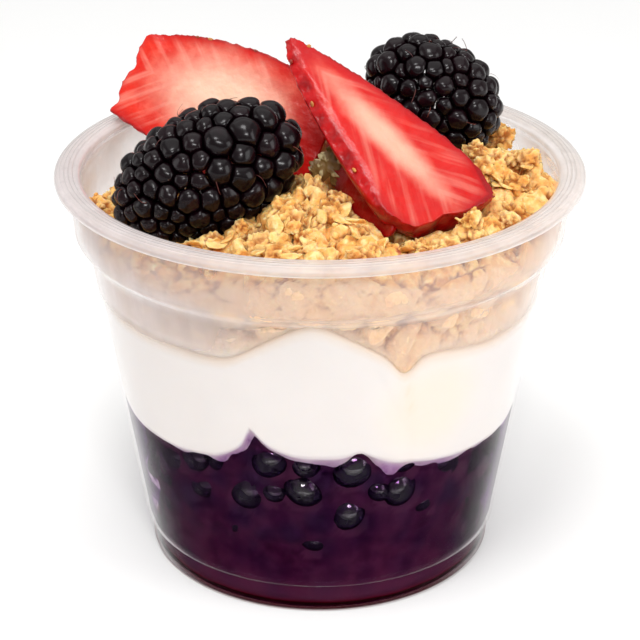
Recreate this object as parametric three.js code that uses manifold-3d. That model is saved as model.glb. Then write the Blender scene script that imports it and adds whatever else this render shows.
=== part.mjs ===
// A yogurt parfait in a clear plastic cup, in millimetres, +Z up.
//
// The cup is a squat, thin-walled cup with a rolled rim, a stacking shoulder under the rim and a
// stepped foot. It holds three layers: blueberry compote, spooned yogurt and granola. On the heap
// of granola lie two brambles, three pieces of strawberry and a scrap of a strawberry's calyx.
// The origin is the middle of the ring that the cup stands on, and -Y is the front.
import * as THREE from 'three';
import { mergeVertices } from 'three/addons/utils/BufferGeometryUtils.js';
import Module from 'manifold-3d';

const wasm = await Module();
wasm.setup();

// ---------------------------------------------------------------- driving dimensions
const gap = 0.3; // clearance between pieces that touch
const wall = 0.75; // thickness of the cup

const base = { recess: 24.4, ringInner: 26.3, ringOuter: 29.9, underside: 1.5 };
const foot = { radius: 31.1, ledge: 32, top: 6 };
const shoulder = { wallRadius: 40.5, bandRadius: 42.8, bottom: 59, top: 61.4 };
const rim = { outer: 46, inner: 41.3, top: 72.1, bottom: 69.8 };
const cupSides = 36;
const layerSides = 72;

// Spoonfuls of yogurt round the wall: where each one is centred, in degrees from the front, how far
// it spreads, how low it sags into the compote and how sharply its flanks turn up.
const sags = [
  { at: -55, spread: 36, low: 29.7, rise: 11.7, power: 3 },
  { at: 0, spread: 20, low: 33.1, rise: 13, power: 2.8 },
  { at: 60, spread: 55, low: 28.4, rise: 10, power: 2 },
  { at: 128, spread: 42, low: 29.6, rise: 11, power: 2.4 },
  { at: -168, spread: 36, low: 31, rise: 11, power: 2.6 },
  { at: -112, spread: 36, low: 28.8, rise: 11, power: 2.4 },
];
// The same spoonfuls seen from above, where each one heaps up against the wall.
const heaps = [
  { at: -46, top: 50.9, slope: 0.05, round: 1.2 },
  { at: -2, top: 58.8, slope: 0.47, round: 2 },
  { at: 29, top: 51.2, slope: 0.12, round: 0.5 },
  { at: 66, top: 50, slope: 0.06, round: 1 },
  { at: 110, top: 53.4, slope: 0.2, round: 1.5 },
  { at: 160, top: 51.5, slope: 0.12, round: 1 },
  { at: -150, top: 54.2, slope: 0.22, round: 1.5 },
  { at: -100, top: 51.4, slope: 0.1, round: 1 },
];
const compoteLevel = 32; // height of each layer away from the wall
const yogurtLevel = 51;

// The granola's heap: a level with mounds on it, each with its middle, height and radius.
const granolaLevel = 59.5;
const mounds = [
  { x: 0, y: -33, rise: 9.5, reach: 22 },
  { x: 32, y: -4, rise: 11, reach: 17 },
  { x: -4, y: -7, rise: 9, reach: 13 },
  { x: -37, y: -5, rise: 8, reach: 9 },
  { x: 22, y: 16, rise: 8, reach: 14 },
  { x: -15, y: 13, rise: 9, reach: 11 },
  { x: 24.5, y: -27, rise: 5.5, reach: 5 },
];
const cluster = { count: 92, small: 2.5, large: 3.8, sink: 0.1 };

// Toppings. Each has its middle, the direction of its long axis and the way its face or top looks.
const brambleFront = {
  name: 'bramble_front', middle: [-19.2, -9, 73.4], axis: [29.5, 9, 12], facing: [0, -0.4, 0.9],
  length: 34.5, thickness: 20.6, drupe: 2.35, taper: 0.16,
};
const brambleBack = {
  name: 'bramble_back', middle: [20.2, 13.5, 79.6], axis: [21, -6, -11.5], facing: [0, -0.4, 0.9],
  length: 27, thickness: 19.2, drupe: 2.15, taper: 0.05,
};
const strawberryBack = {
  name: 'strawberry_back', crown: [-34.9, 23, 80.8], tip: [-0.5, 3.6, 71.5], facing: [-0.3, -0.78, 0.55],
  width: 24, depth: 10, widest: 0.62, crownWidth: 0.66, blunt: 2.2, bend: 1.2, lobe: 1, slant: 0,
};
const strawberryFront = {
  name: 'strawberry_front', crown: [22.8, -18.5, 70], tip: [-6.3, 0, 94.7], facing: [0.33, -0.53, 0.78],
  width: 21.2, depth: 9, widest: 0.16, crownWidth: 0.8, blunt: 1.3, bend: 0, lobe: 1, slant: 3,
};
const strawberryUnder = {
  name: 'strawberry_under', crown: [4.5, 3, 80], tip: [11.5, -22, 67.5], facing: [-0.8, -0.4, 0.45],
  width: 17, depth: 7, widest: 0.3, crownWidth: 0.8, blunt: 1.6, bend: 0, lobe: 1, slant: 0,
};
const strawberrySides = 24;
const strawberryRings = 12;

const leaf = { middle: [1.2, -6.3, 74.6], length: 6.5, width: 5, thickness: 0.35, wave: 0.6 };

// ---------------------------------------------------------------- colours
const plastic = new THREE.MeshStandardMaterial({ color: 0xe9e9e6, roughness: 0.2, transparent: true });
plastic.opacity = 0.3;
const compoteRed = new THREE.MeshStandardMaterial({ color: 0x32102c, roughness: 0.2 });
const yogurtWhite = new THREE.MeshStandardMaterial({ color: 0xf8f4ee, roughness: 0.45 });
const granolaGold = new THREE.MeshStandardMaterial({ color: 0xd29a58, roughness: 0.85 });
const brambleBlack = new THREE.MeshStandardMaterial({ color: 0x17131a, roughness: 0.3 });
const strawberryRed = new THREE.MeshStandardMaterial({ color: 0xd8302c, roughness: 0.35 });
const calyxOlive = new THREE.MeshStandardMaterial({ color: 0xa08a52, roughness: 0.7 });

// ---------------------------------------------------------------- helpers
const toRadians = THREE.MathUtils.degToRad;

// A repeatable random number between 0 and 1.
function seeded(seed) {
  let state = seed;
  return () => {
    state = (state * 1664525 + 1013904223) % 4294967296;
    return state / 4294967296;
  };
}

function toSolid(geometry) {
  const bare = geometry.clone();
  bare.deleteAttribute('normal');
  bare.deleteAttribute('uv');
  const merged = mergeVertices(bare, 1e-4);
  const vertProperties = new Float32Array(merged.attributes.position.array);
  const triVerts = new Uint32Array(merged.index.array);
  return new wasm.Manifold(new wasm.Mesh({ numProp: 3, vertProperties, triVerts }));
}

function toGeometry(solid) {
  const mesh = solid.getMesh();
  const geometry = new THREE.BufferGeometry();
  geometry.setAttribute('position', new THREE.BufferAttribute(mesh.vertProperties, 3));
  geometry.setIndex(new THREE.BufferAttribute(mesh.triVerts, 1));
  return geometry;
}

// The biggest piece of a solid, so that a crumb that a cut left loose is dropped.
function mainPiece(solid) {
  const pieces = solid.decompose();
  return pieces.reduce((best, piece) => (piece.volume() > best.volume() ? piece : best));
}

function namedMesh(name, geometry, material) {
  const mesh = new THREE.Mesh(geometry, material);
  mesh.name = name;
  return mesh;
}

// Moves every vertex of a geometry by a function of its place.
function reshape(geometry, move) {
  const position = geometry.attributes.position;
  const point = new THREE.Vector3();
  for (let i = 0; i < position.count; i += 1) {
    point.fromBufferAttribute(position, i);
    move(point);
    position.setXYZ(i, point.x, point.y, point.z);
  }
  return geometry;
}

// The placement that sends local X along `axis` and local Z as near as it can to `facing`.
function placement(middle, axis, facing) {
  const along = new THREE.Vector3(...axis).normalize();
  const across = new THREE.Vector3(...facing).cross(along).normalize();
  const up = along.clone().cross(across);
  return new THREE.Matrix4().makeBasis(along, across, up).setPosition(...middle);
}

// ---------------------------------------------------------------- cup
// The cup's raised floor and the groove round it, then its inner wall up to the rim, each as a list
// of radius and height.
const floor = [
  [base.recess, base.underside + wall],
  [base.ringInner + 0.2, wall],
];
const inside = [
  [base.ringOuter - 0.4, wall],
  [base.ringOuter + 0.25, wall + 0.6],
  [foot.radius - wall - 0.1, 2.9],
  [foot.radius - wall, 5.4],
  [foot.ledge - wall - 0.3, foot.top + 0.7],
  [shoulder.wallRadius - wall, shoulder.bottom + 0.4],
  [shoulder.bandRadius - wall, shoulder.top + 0.5],
  [shoulder.bandRadius - 0.4, 66],
  [rim.inner + 0.5, 69.2],
  [rim.inner + 0.1, 70.4],
];

function insideRadius(height) {
  const above = inside.findIndex(([, level]) => level >= height);
  if (above <= 0) return above === 0 ? inside[0][0] : rim.inner;
  const [lowRadius, low] = inside[above - 1];
  const [highRadius, high] = inside[above];
  return THREE.MathUtils.mapLinear(height, low, high, lowRadius, highRadius);
}

function rolledRim() {
  const middleRadius = (rim.outer + rim.inner) / 2;
  const middleHeight = (rim.top + rim.bottom) / 2;
  const bead = [];
  const steps = 10;
  for (let i = 0; i <= steps; i += 1) {
    const angle = toRadians(-72 + (240 * i) / steps);
    const squareness = 0.85;
    const c = Math.cos(angle);
    const s = Math.sin(angle);
    bead.push([
      middleRadius + (rim.outer - middleRadius) * Math.sign(c) * Math.abs(c) ** squareness,
      middleHeight + (rim.top - middleHeight) * Math.sign(s) * Math.abs(s) ** squareness,
    ]);
  }
  return bead;
}

function makeCup() {
  const outside = [
    [0, base.underside],
    [base.recess, base.underside],
    [base.ringInner, 0],
    [base.ringOuter, 0],
    [foot.radius - 0.2, 0.8],
    [foot.radius - 0.05, 2.4],
    [foot.radius, foot.top - 0.7],
    [foot.ledge, foot.top],
    [shoulder.wallRadius, shoulder.bottom],
    [shoulder.wallRadius + 1.5, shoulder.bottom + 1.2],
    [shoulder.bandRadius, shoulder.top],
    [shoulder.bandRadius + 0.4, rim.bottom],
  ];
  const cavity = [[0, base.underside + wall], ...floor, ...inside];
  const profile = [...outside, ...rolledRim(), ...cavity.toReversed()];
  const points = profile.map(([radius, height]) => new THREE.Vector2(radius, height));
  const geometry = new THREE.LatheGeometry(points, cupSides);
  geometry.rotateX(Math.PI / 2);
  return namedMesh('cup', toGeometry(toSolid(geometry)), plastic);
}

// ---------------------------------------------------------------- layers
// Heights at the wall are functions of the angle in degrees, measured from the front towards +X.
function angleBetween(a, b) {
  return THREE.MathUtils.euclideanModulo(a - b + 180, 360) - 180;
}

// Where the yogurt's lower edge lies: the lowest of its sagging spoonfuls.
function yogurtBottomAtWall(angle) {
  const heights = sags.map(({ at, spread, low, rise, power }) => {
    const u = Math.min(Math.abs(angleBetween(angle, at)) / spread, 1);
    return low + rise * (1 - (1 - u ** power) ** (1 / power));
  });
  return Math.min(...heights);
}

function yogurtTopAtWall(angle) {
  const heights = heaps.map(({ at, top, slope, round }) => {
    const away = angleBetween(angle, at) * slope;
    return top - (Math.sqrt(away * away + round * round) - round);
  });
  return Math.max(...heights);
}

function smoothstep(low, high, value) {
  return THREE.MathUtils.smoothstep(value, low, high);
}

// A boundary between layers follows its edge at the wall and calms to a level in the middle.
function compoteSurface(share, angle) {
  return THREE.MathUtils.lerp(compoteLevel, yogurtBottomAtWall(angle), smoothstep(0.45, 1, share));
}

function yogurtSurface(share, angle) {
  return THREE.MathUtils.lerp(yogurtLevel, yogurtTopAtWall(angle), smoothstep(0.45, 1, share));
}

// The top of the granola's bare core.
function granolaHeap(x, y) {
  const mound = mounds.reduce((sum, m) => {
    const away = ((x - m.x) ** 2 + (y - m.y) ** 2) / (m.reach * m.reach);
    return sum + m.rise * Math.exp(-away);
  }, 0);
  return granolaLevel + mound;
}

function granolaSurface(share, angle) {
  const radius = share * (rim.inner - gap);
  const turn = toRadians(angle);
  const height = granolaHeap(radius * Math.sin(turn), -radius * Math.cos(turn));
  const brim = rim.bottom - 0.6; // the heap stays below the rim where it meets the wall
  return Math.min(height, THREE.MathUtils.lerp(height, brim, smoothstep(0.86, 1, share)));
}

// Rings that a layer is made of. Each gives a radius and a height for an angle round the cup.
const levelRing = (radius, height) => () => [radius, height];

function wallRing(heightAt) {
  return (angle) => {
    const height = heightAt(angle);
    return [insideRadius(height) - gap, height];
  };
}

// Rings across a boundary, from the middle out, each at a share of the way to the wall.
function boundaryRings(heightAt, shares, lift = 0) {
  return shares.map((share) => (angle) => {
    const edge = heightAt(1, angle) + lift;
    return [share * (insideRadius(edge) - gap), heightAt(share, angle) + lift];
  });
}

// One layer: rings across its underside, rings up its side and rings back across its top. The
// triangles of an underside lie as those of the top below it do, so that the gap stays even.
function layerGeometry({ underRings, sideRings, topRings, underMiddle, topMiddle }) {
  const rings = [...underRings, ...sideRings, ...topRings.toReversed()];
  const vertices = [0, 0, underMiddle];
  rings.forEach((ring) => {
    for (let i = 0; i < layerSides; i += 1) {
      const angle = (360 * i) / layerSides;
      const turn = toRadians(angle);
      const [radius, height] = ring(angle);
      vertices.push(radius * Math.sin(turn), -radius * Math.cos(turn), height);
    }
  });
  vertices.push(0, 0, topMiddle);
  const start = (ring) => 1 + ring * layerSides;
  const top = start(rings.length);

  const triangles = [];
  for (let i = 0; i < layerSides; i += 1) {
    const next = (i + 1) % layerSides;
    triangles.push(0, start(0) + next, start(0) + i);
    for (let ring = 1; ring < rings.length; ring += 1) {
      const [low, high] = [start(ring - 1), start(ring)];
      if (ring < underRings.length) {
        triangles.push(low + i, low + next, high + i);
        triangles.push(low + next, high + next, high + i);
      } else {
        triangles.push(low + i, low + next, high + next);
        triangles.push(low + i, high + next, high + i);
      }
    }
    triangles.push(start(rings.length - 1) + i, start(rings.length - 1) + next, top);
  }
  const geometry = new THREE.BufferGeometry();
  geometry.setAttribute('position', new THREE.Float32BufferAttribute(vertices, 3));
  geometry.setIndex(triangles);
  return geometry;
}

const boundaryShares = [0.5, 0.8, 1];

function makeCompote() {
  const geometry = layerGeometry({
    underMiddle: base.underside + wall + gap,
    underRings: floor.map(([radius, height]) => levelRing(radius - gap / 2, height + gap)),
    sideRings: inside.slice(0, 5).map(([radius, height]) => levelRing(radius - gap, height + gap)),
    topRings: boundaryRings(compoteSurface, boundaryShares),
    topMiddle: compoteLevel,
  });
  return namedMesh('compote', geometry, compoteRed);
}

function makeYogurt() {
  const geometry = layerGeometry({
    underMiddle: compoteLevel + gap,
    underRings: boundaryRings(compoteSurface, boundaryShares, gap),
    sideRings: [],
    topRings: boundaryRings(yogurtSurface, boundaryShares),
    topMiddle: yogurtLevel,
  });
  return namedMesh('yogurt', geometry, yogurtWhite);
}

// ---------------------------------------------------------------- toppings
// A bramble's core, whose skin the drupelets sit on: half its length, and its radius at a share of
// the way along X. The stem end is the thicker one, and its drupelets are the larger ones.
const coreLength = (berry) => berry.length / 2 - berry.drupe;
const swelling = (berry, along) => 1 + berry.taper * along;
const coreRadius = (berry, along) => (berry.thickness / 2 - berry.drupe) * swelling(berry, along);

// Rings of drupelets from the tip to the stem.
function drupelets(berry) {
  const rows = Math.round((berry.length * 1.3) / (2 * berry.drupe));
  const balls = [];
  for (let row = 0; row <= rows; row += 1) {
    const turn = (Math.PI * row) / rows;
    const along = -Math.cos(turn);
    const ringRadius = coreRadius(berry, along) * Math.sin(turn);
    const count = Math.max(1, Math.round((2 * Math.PI * ringRadius) / (1.8 * berry.drupe)));
    for (let i = 0; i < count; i += 1) {
      const round = (2 * Math.PI * (i + (row % 2) / 2)) / count;
      const [y, z] = [ringRadius * Math.cos(round), ringRadius * Math.sin(round)];
      const middle = new THREE.Vector3(coreLength(berry) * along, y, z);
      balls.push({ middle, radius: berry.drupe * swelling(berry, along) });
    }
  }
  return balls;
}

// How far a line from inside a ball runs until it leaves the ball, or 0 where it misses.
function exitDistance(start, direction, ball) {
  const toMiddle = ball.middle.clone().sub(start);
  const nearest = toMiddle.dot(direction);
  const inside = nearest ** 2 - toMiddle.lengthSq() + ball.radius ** 2;
  return inside > 0 ? nearest + Math.sqrt(inside) : 0;
}

// A bramble's solid: the core's skin, pushed out to the outside of the drupelets.
function brambleGeometry(berry) {
  const balls = drupelets(berry);
  const valley = 0.35 * berry.drupe;
  return reshape(new THREE.IcosahedronGeometry(1, 7), (point) => {
    const scale = new THREE.Vector3(coreLength(berry), 1, 1);
    scale.y = coreRadius(berry, point.x);
    scale.z = scale.y;
    const outward = point.clone().divide(scale).normalize();
    const start = point.clone().multiply(scale);
    const reach = Math.max(valley, ...balls.map((ball) => exitDistance(start, outward, ball)));
    point.copy(start).addScaledVector(outward, reach);
  });
}

// The smooth hollow that a bramble presses into the granola.
function bramblePrint(berry) {
  const half = berry.length / 2 + gap + 0.5;
  const radius = berry.thickness / 2 + gap + 0.8;
  return toSolid(new THREE.SphereGeometry(1, 16, 9).rotateZ(-Math.PI / 2).scale(half, radius, radius));
}

// How wide a strawberry is at a share of the way from its crown to its tip.
function strawberryWidth(fruit, share) {
  if (share < fruit.widest) {
    const shoulderTurn = (Math.PI / 2) * (share / fruit.widest);
    return THREE.MathUtils.lerp(fruit.crownWidth, 1, Math.sin(shoulderTurn));
  }
  const tipward = (share - fruit.widest) / (1 - fruit.widest);
  return (1 - tipward ** fruit.blunt) ** (1 / fruit.blunt);
}

// Half a strawberry, cut lengthwise: its crown at x = 0, its cut face on z = 0 and its skin below.
function strawberrySolid(fruit, grow = 0) {
  const length = new THREE.Vector3(...fruit.crown).distanceTo(new THREE.Vector3(...fruit.tip));
  const profile = [new THREE.Vector2(0, -0.4 - grow)];
  for (let ring = 0; ring <= strawberryRings; ring += 1) {
    const share = 1 - (1 - ring / strawberryRings) ** 1.35;
    const end = ring === strawberryRings;
    const radius = end ? 0 : (fruit.width / 2) * strawberryWidth(fruit, share) + grow;
    profile.push(new THREE.Vector2(radius, share * (length + 2 * grow) - grow));
  }
  const whole = new THREE.LatheGeometry(profile, strawberrySides);
  whole.rotateX(Math.PI / 2).rotateY(Math.PI / 2); // the lathe's axis becomes X
  reshape(whole, (point) => {
    const share = THREE.MathUtils.clamp(point.x / length, 0, 1);
    const across = point.y / (fruit.width / 2);
    const nearCrown = 1 - smoothstep(0, 0.3, share);
    const rise = Math.hypot(point.y, point.z) / (fruit.width / 2);
    const lobes = Math.abs(Math.cos(1.2 * Math.PI * across)) * Math.min(rise, 1);
    point.x += nearCrown * (fruit.slant * across - fruit.lobe * lobes);
    point.z *= (2 * (fruit.depth + grow)) / fruit.width;
    point.y += fruit.bend * Math.sin(Math.PI * share);
  });
  const below = new THREE.BoxGeometry(2 * length, 3 * fruit.width, 2 * fruit.depth + 4);
  below.translate(length / 2, 0, -fruit.depth - 2 + grow);
  return toSolid(whole).intersect(toSolid(below));
}

function strawberryPlace(fruit) {
  const axis = fruit.tip.map((value, i) => value - fruit.crown[i]);
  return placement(fruit.crown, axis, fruit.facing);
}

function place(solid, matrix) {
  return toSolid(toGeometry(solid).applyMatrix4(matrix));
}

// A scrap of dried calyx: a thin sheet whose two faces share one pattern of triangles.
function makeLeaf() {
  const columns = 6;
  const rows = 4;
  const surface = (side) => {
    const points = [];
    for (let row = 0; row <= rows; row += 1) {
      for (let column = 0; column <= columns; column += 1) {
        const u = column / columns;
        const v = row / rows - 0.5;
        const taper = 0.35 + 0.65 * Math.sin(Math.PI * (0.2 + 0.75 * u));
        const lift = leaf.wave * Math.sin(7 * u + 3 * v) + 0.5 * leaf.wave * Math.cos(9 * v);
        const height = lift + (side * leaf.thickness) / 2;
        points.push(leaf.length * (u - 0.5), leaf.width * v * taper, height);
      }
    }
    return points;
  };
  const vertices = [...surface(1), ...surface(-1)];
  const under = vertices.length / 6;
  const triangles = [];
  const at = (row, column) => row * (columns + 1) + column;
  for (let row = 0; row < rows; row += 1) {
    for (let column = 0; column < columns; column += 1) {
      const [a, b] = [at(row, column), at(row, column + 1)];
      const [d, c] = [at(row + 1, column), at(row + 1, column + 1)];
      triangles.push(a, b, c, a, c, d);
      triangles.push(under + a, under + c, under + b, under + a, under + d, under + c);
    }
  }
  const alongColumns = [...Array(columns).keys()];
  const alongRows = [...Array(rows).keys()];
  const outline = [
    ...alongColumns.map((column) => at(0, column)),
    ...alongRows.map((row) => at(row, columns)),
    ...alongColumns.map((column) => at(rows, columns - column)),
    ...alongRows.map((row) => at(rows - row, 0)),
  ];
  outline.forEach((from, i) => {
    const to = outline[(i + 1) % outline.length];
    triangles.push(from, under + from, under + to, from, under + to, to);
  });
  const geometry = new THREE.BufferGeometry();
  geometry.setAttribute('position', new THREE.Float32BufferAttribute(vertices, 3));
  geometry.setIndex(triangles);
  const mesh = namedMesh('calyx_leaf', geometry, calyxOlive);
  mesh.position.set(...leaf.middle);
  mesh.rotation.set(toRadians(62), toRadians(-70), 0, 'ZYX');
  return mesh;
}

// ---------------------------------------------------------------- granola
// One baked cluster of oats: a squashed, uneven lump.
function clusterGeometry(random, radius) {
  const lump = new THREE.IcosahedronGeometry(radius, 0);
  const squash = 0.7 + 0.3 * random();
  lump.scale(1, 0.75 + 0.3 * random(), squash);
  const merged = mergeVertices(lump.deleteAttribute('normal').deleteAttribute('uv'));
  reshape(merged, (point) => point.multiplyScalar(0.85 + 0.3 * random()));
  return merged.rotateZ(6.28 * random()).rotateX(0.9 * (random() - 0.5));
}

function makeGranola(prints) {
  const shoulderLevels = [shoulder.bottom + 0.4, shoulder.top + 0.5, 66];
  const core = layerGeometry({
    underMiddle: yogurtLevel + gap,
    underRings: boundaryRings(yogurtSurface, boundaryShares, gap),
    sideRings: shoulderLevels.map((level, i) =>
      wallRing((angle) => Math.min(level, granolaSurface(1, angle) - 0.4 * (3 - i)))),
    topRings: boundaryRings(granolaSurface, [0.3, 0.58, 0.8, 0.92, 1]),
    topMiddle: granolaSurface(0, 0),
  });
  let solid = toSolid(core);
  const random = seeded(7);
  const goldenTurn = Math.PI * (3 - Math.sqrt(5));
  for (let i = 0; i < cluster.count; i += 1) {
    const size = THREE.MathUtils.lerp(cluster.small, cluster.large, random());
    const edge = shoulder.wallRadius - wall - gap - 1.15 * size;
    const radius = edge * Math.sqrt((i + 0.5) / cluster.count);
    const turn = i * goldenTurn;
    const [x, y] = [radius * Math.cos(turn), radius * Math.sin(turn)];
    const height = granolaHeap(x, y) - size * cluster.sink;
    const lump = clusterGeometry(random, size).translate(x, y, height);
    const lumpSolid = toSolid(lump);
    const crosses = prints.some((print) => print.intersect(lumpSolid).volume() > 0);
    if (!crosses) solid = solid.add(lumpSolid);
  }
  prints.forEach((print) => {
    solid = solid.subtract(print);
  });
  return namedMesh('granola', toGeometry(mainPiece(solid)), granolaGold);
}

// ---------------------------------------------------------------- the parfait
const brambles = [brambleFront, brambleBack];
const strawberries = [strawberryBack, strawberryFront, strawberryUnder];

const bramblePlace = (berry) => placement(berry.middle, berry.axis, berry.facing);
const strawberryPrint = (fruit) => place(strawberrySolid(fruit, gap), strawberryPlace(fruit));
const prints = [
  ...brambles.map((berry) => place(bramblePrint(berry), bramblePlace(berry))),
  ...strawberries.map(strawberryPrint),
];
const frontPrint = strawberryPrint(strawberryFront); // the piece below gives way to it

const parfait = new THREE.Group();
parfait.add(makeCup(), makeCompote(), makeYogurt(), makeGranola(prints), makeLeaf());
brambles.forEach((berry) => {
  const solid = place(toSolid(brambleGeometry(berry)), bramblePlace(berry));
  parfait.add(namedMesh(berry.name, toGeometry(solid), brambleBlack));
});
strawberries.forEach((fruit) => {
  let solid = place(strawberrySolid(fruit), strawberryPlace(fruit));
  if (fruit === strawberryUnder) solid = mainPiece(solid.subtract(frontPrint));
  parfait.add(namedMesh(fruit.name, toGeometry(solid), strawberryRed));
});

export default parfait;
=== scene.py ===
# %% [markdown]
# # A yogurt parfait in a clear cup
#
# A parfait is a drink-sized dessert that is filled from the bottom up: stewed blueberries,
# spooned yogurt, crushed granola, and fruit on top. Each layer is soft and takes its shape from
# the cup and from what lies on it, so the lesson builds the pieces in the order in which a
# kitchen would.
#
# A measured model of the whole dessert is loaded first. Every piece below is made in its place,
# and the main pieces each stand for one of the measured solids, which is then hidden. Sizes are in
# millimetres, and become metres where they meet Blender.

import math

import bmesh
import bpy
import numpy as np
from mathutils import Matrix, Vector, noise
from mathutils.bvhtree import BVHTree
from mathutils.kdtree import KDTree


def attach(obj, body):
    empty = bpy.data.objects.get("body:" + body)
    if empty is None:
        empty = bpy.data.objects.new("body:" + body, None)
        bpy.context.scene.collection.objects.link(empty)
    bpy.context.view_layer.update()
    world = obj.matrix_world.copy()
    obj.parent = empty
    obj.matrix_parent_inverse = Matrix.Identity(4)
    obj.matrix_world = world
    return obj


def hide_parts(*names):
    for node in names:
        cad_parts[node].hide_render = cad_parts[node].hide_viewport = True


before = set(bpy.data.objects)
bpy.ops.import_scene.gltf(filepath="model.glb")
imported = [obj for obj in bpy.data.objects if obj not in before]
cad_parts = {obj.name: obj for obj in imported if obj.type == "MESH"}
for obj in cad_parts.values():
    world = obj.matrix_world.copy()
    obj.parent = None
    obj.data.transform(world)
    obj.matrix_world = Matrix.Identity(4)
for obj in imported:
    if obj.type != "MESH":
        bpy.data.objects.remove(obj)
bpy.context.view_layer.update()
MM = 0.001
GOLDEN_TURN = math.pi * (3 - math.sqrt(5))
print("solids:", sorted(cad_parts))

# %% [markdown]
# ## Camera and light
#
# Food like this is shown from a little above, on a white table, in a bright room. A long lens
# keeps the cup's sides nearly straight. A wide ceiling lamp lights everything evenly. Two small
# lamps above and in front put one soft light on every round fruit, and two weaker panels keep the
# sides of the clear cup from going grey.

# %% Camera
LOOK_DOWN = 25.13
camera_data = bpy.data.cameras.new("camera")
camera_data.lens = 125
camera_data.sensor_width = 36
camera = bpy.data.objects.new("camera", camera_data)
scene = bpy.context.scene
scene.collection.objects.link(camera)
camera.location = Vector((0, -360.3, 210.75)) * MM
camera.rotation_euler = (math.radians(90 - LOOK_DOWN), 0, 0)
scene.camera = camera
print("camera looks down by", LOOK_DOWN, "degrees")

# %% Light
# Each lamp's name, place, width and height in metres, and power in watts.
LAMPS = [
    ("ceiling", (0, 0.3, 1.7), 2.4, 2.4, 13.5),
    ("overhead_panel", (-0.10, -0.30, 0.75), 0.24, 0.18, 2.0),
    ("front_lamp", (0.06, -0.75, 0.62), 0.28, 0.14, 3.1),
    ("right_panel", (0.75, -0.35, 0.35), 0.5, 0.6, 2.9),
    ("left_panel", (-0.8, -0.1, 0.3), 0.4, 0.6, 1.3),
]
CUP_MIDDLE = Vector((0, 0, 0.05))
scene.view_settings.view_transform = "Standard"
world = bpy.data.worlds.new("bright_room")
scene.world = world
world.use_nodes = True
room = world.node_tree.nodes["Background"]
room.inputs["Color"].default_value = (1.0, 0.99, 0.98, 1)
room.inputs["Strength"].default_value = 0.4
for name, place, width, height, power in LAMPS:
    data = bpy.data.lights.new(name, "AREA")
    data.shape = "RECTANGLE"
    data.size, data.size_y, data.energy = width, height, power
    lamp = bpy.data.objects.new(name, data)
    scene.collection.objects.link(lamp)
    lamp.location = place
    lamp.rotation_euler = (CUP_MIDDLE - Vector(place)).to_track_quat("-Z", "Y").to_euler()

# %% [markdown]
# ## Small tools
#
# Most operators work on whatever is selected, and a freshly loaded model is selected all over.
# These helpers start each piece from a clean selection, and finish each one in the same way: its
# place goes into its mesh, it gets a name and a material, and it is tied to the body that it
# belongs to.


# %% Selecting and finishing
def start_clean():
    if bpy.context.mode != "OBJECT":
        bpy.ops.object.mode_set(mode="OBJECT")
    bpy.ops.object.select_all(action="DESELECT")


def pick(piece):
    start_clean()
    piece.select_set(True)
    bpy.context.view_layer.objects.active = piece


def apply_modifier(piece, kind, **settings):
    pick(piece)
    modifier = piece.modifiers.new(kind.lower(), kind)
    for name, value in settings.items():
        setattr(modifier, name, value)
    bpy.ops.object.modifier_apply(modifier=modifier.name)


def smooth(piece):
    pick(piece)
    bpy.ops.object.shade_smooth()


def finish(piece, name, surface, stands_for=()):
    """Names the piece, gives it its material and ties it to the model."""
    pick(piece)
    bpy.ops.object.transform_apply(location=True, rotation=True, scale=True)
    piece.name = name
    piece.data.name = name
    piece.data.materials.clear()
    piece.data.materials.append(surface.material)
    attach(piece, "root")
    if stands_for:
        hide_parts(*stands_for)
    triangles = sum(len(face.vertices) - 2 for face in piece.data.polygons)
    print(name, "has", triangles, "triangles")


def throw_away(models):
    start_clean()
    for model in models:
        bpy.data.objects.remove(model)


# %% Drawing an outline and spinning it
def single_vertex():
    """A mesh in edit mode with one selected vertex at the origin."""
    start_clean()
    bpy.ops.mesh.primitive_plane_add(size=0.001)
    bpy.ops.object.mode_set(mode="EDIT")
    bpy.ops.mesh.merge(type="CENTER")
    return bpy.context.object


def draw_line(points):
    """Extrudes the selected vertex from point to point, in millimetres."""
    at = Vector(points[0])
    bpy.ops.transform.translate(value=at * MM)
    for point in points[1:]:
        step = (Vector(point) - at) * MM
        bpy.ops.mesh.extrude_region_move(TRANSFORM_OT_translate={"value": step})
        at = Vector(point)


def spin_up(axis, steps):
    """Spins the drawn line into a surface of revolution."""
    bpy.ops.mesh.select_all(action="SELECT")
    bpy.ops.mesh.spin(steps=steps, angle=2 * math.pi, center=(0, 0, 0), axis=axis)
    bpy.ops.mesh.select_all(action="SELECT")
    bpy.ops.mesh.remove_doubles(threshold=0.01 * MM)
    bpy.ops.mesh.normals_make_consistent(inside=False)


# %% Reading and moving points
def vertex_places(piece):
    places = np.empty(len(piece.data.vertices) * 3)
    piece.data.vertices.foreach_get("co", places)
    return places.reshape(-1, 3) / MM


def vertex_normals(piece):
    normals = np.empty(len(piece.data.vertices) * 3)
    piece.data.vertex_normals.foreach_get("vector", normals)
    return normals.reshape(-1, 3)


def move_vertices(piece, places):
    piece.data.vertices.foreach_set("co", (np.asarray(places) * MM).ravel())
    piece.data.update()


def store(piece, name, values):
    """Keeps one number for each vertex, for a material to read."""
    attribute = piece.data.attributes.new(name, "FLOAT", "POINT")
    attribute.data.foreach_set("value", np.asarray(values, np.float32))


def radii_of(places):
    return np.hypot(places[:, 0], places[:, 1])


def turns_of(places):
    """How far round the cup each place lies, in degrees from the front."""
    return np.degrees(np.arctan2(places[:, 0], -places[:, 1]))


def round_the_cup(radius, turn, height):
    return Vector((radius * math.sin(turn), -radius * math.cos(turn), height))


def smoothstep(low, high, value):
    t = np.clip((np.asarray(value, float) - low) / (high - low), 0, 1)
    return t * t * (3 - 2 * t)


def uneven(places, size, shift=Vector(), fading=1, octaves=3):
    """Cloudy noise at each place, whose spots are about `size` across."""
    points = (Vector(place) / size + shift for place in places)
    return np.array([noise.fractal(point, fading, 2, octaves) for point in points])


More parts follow.
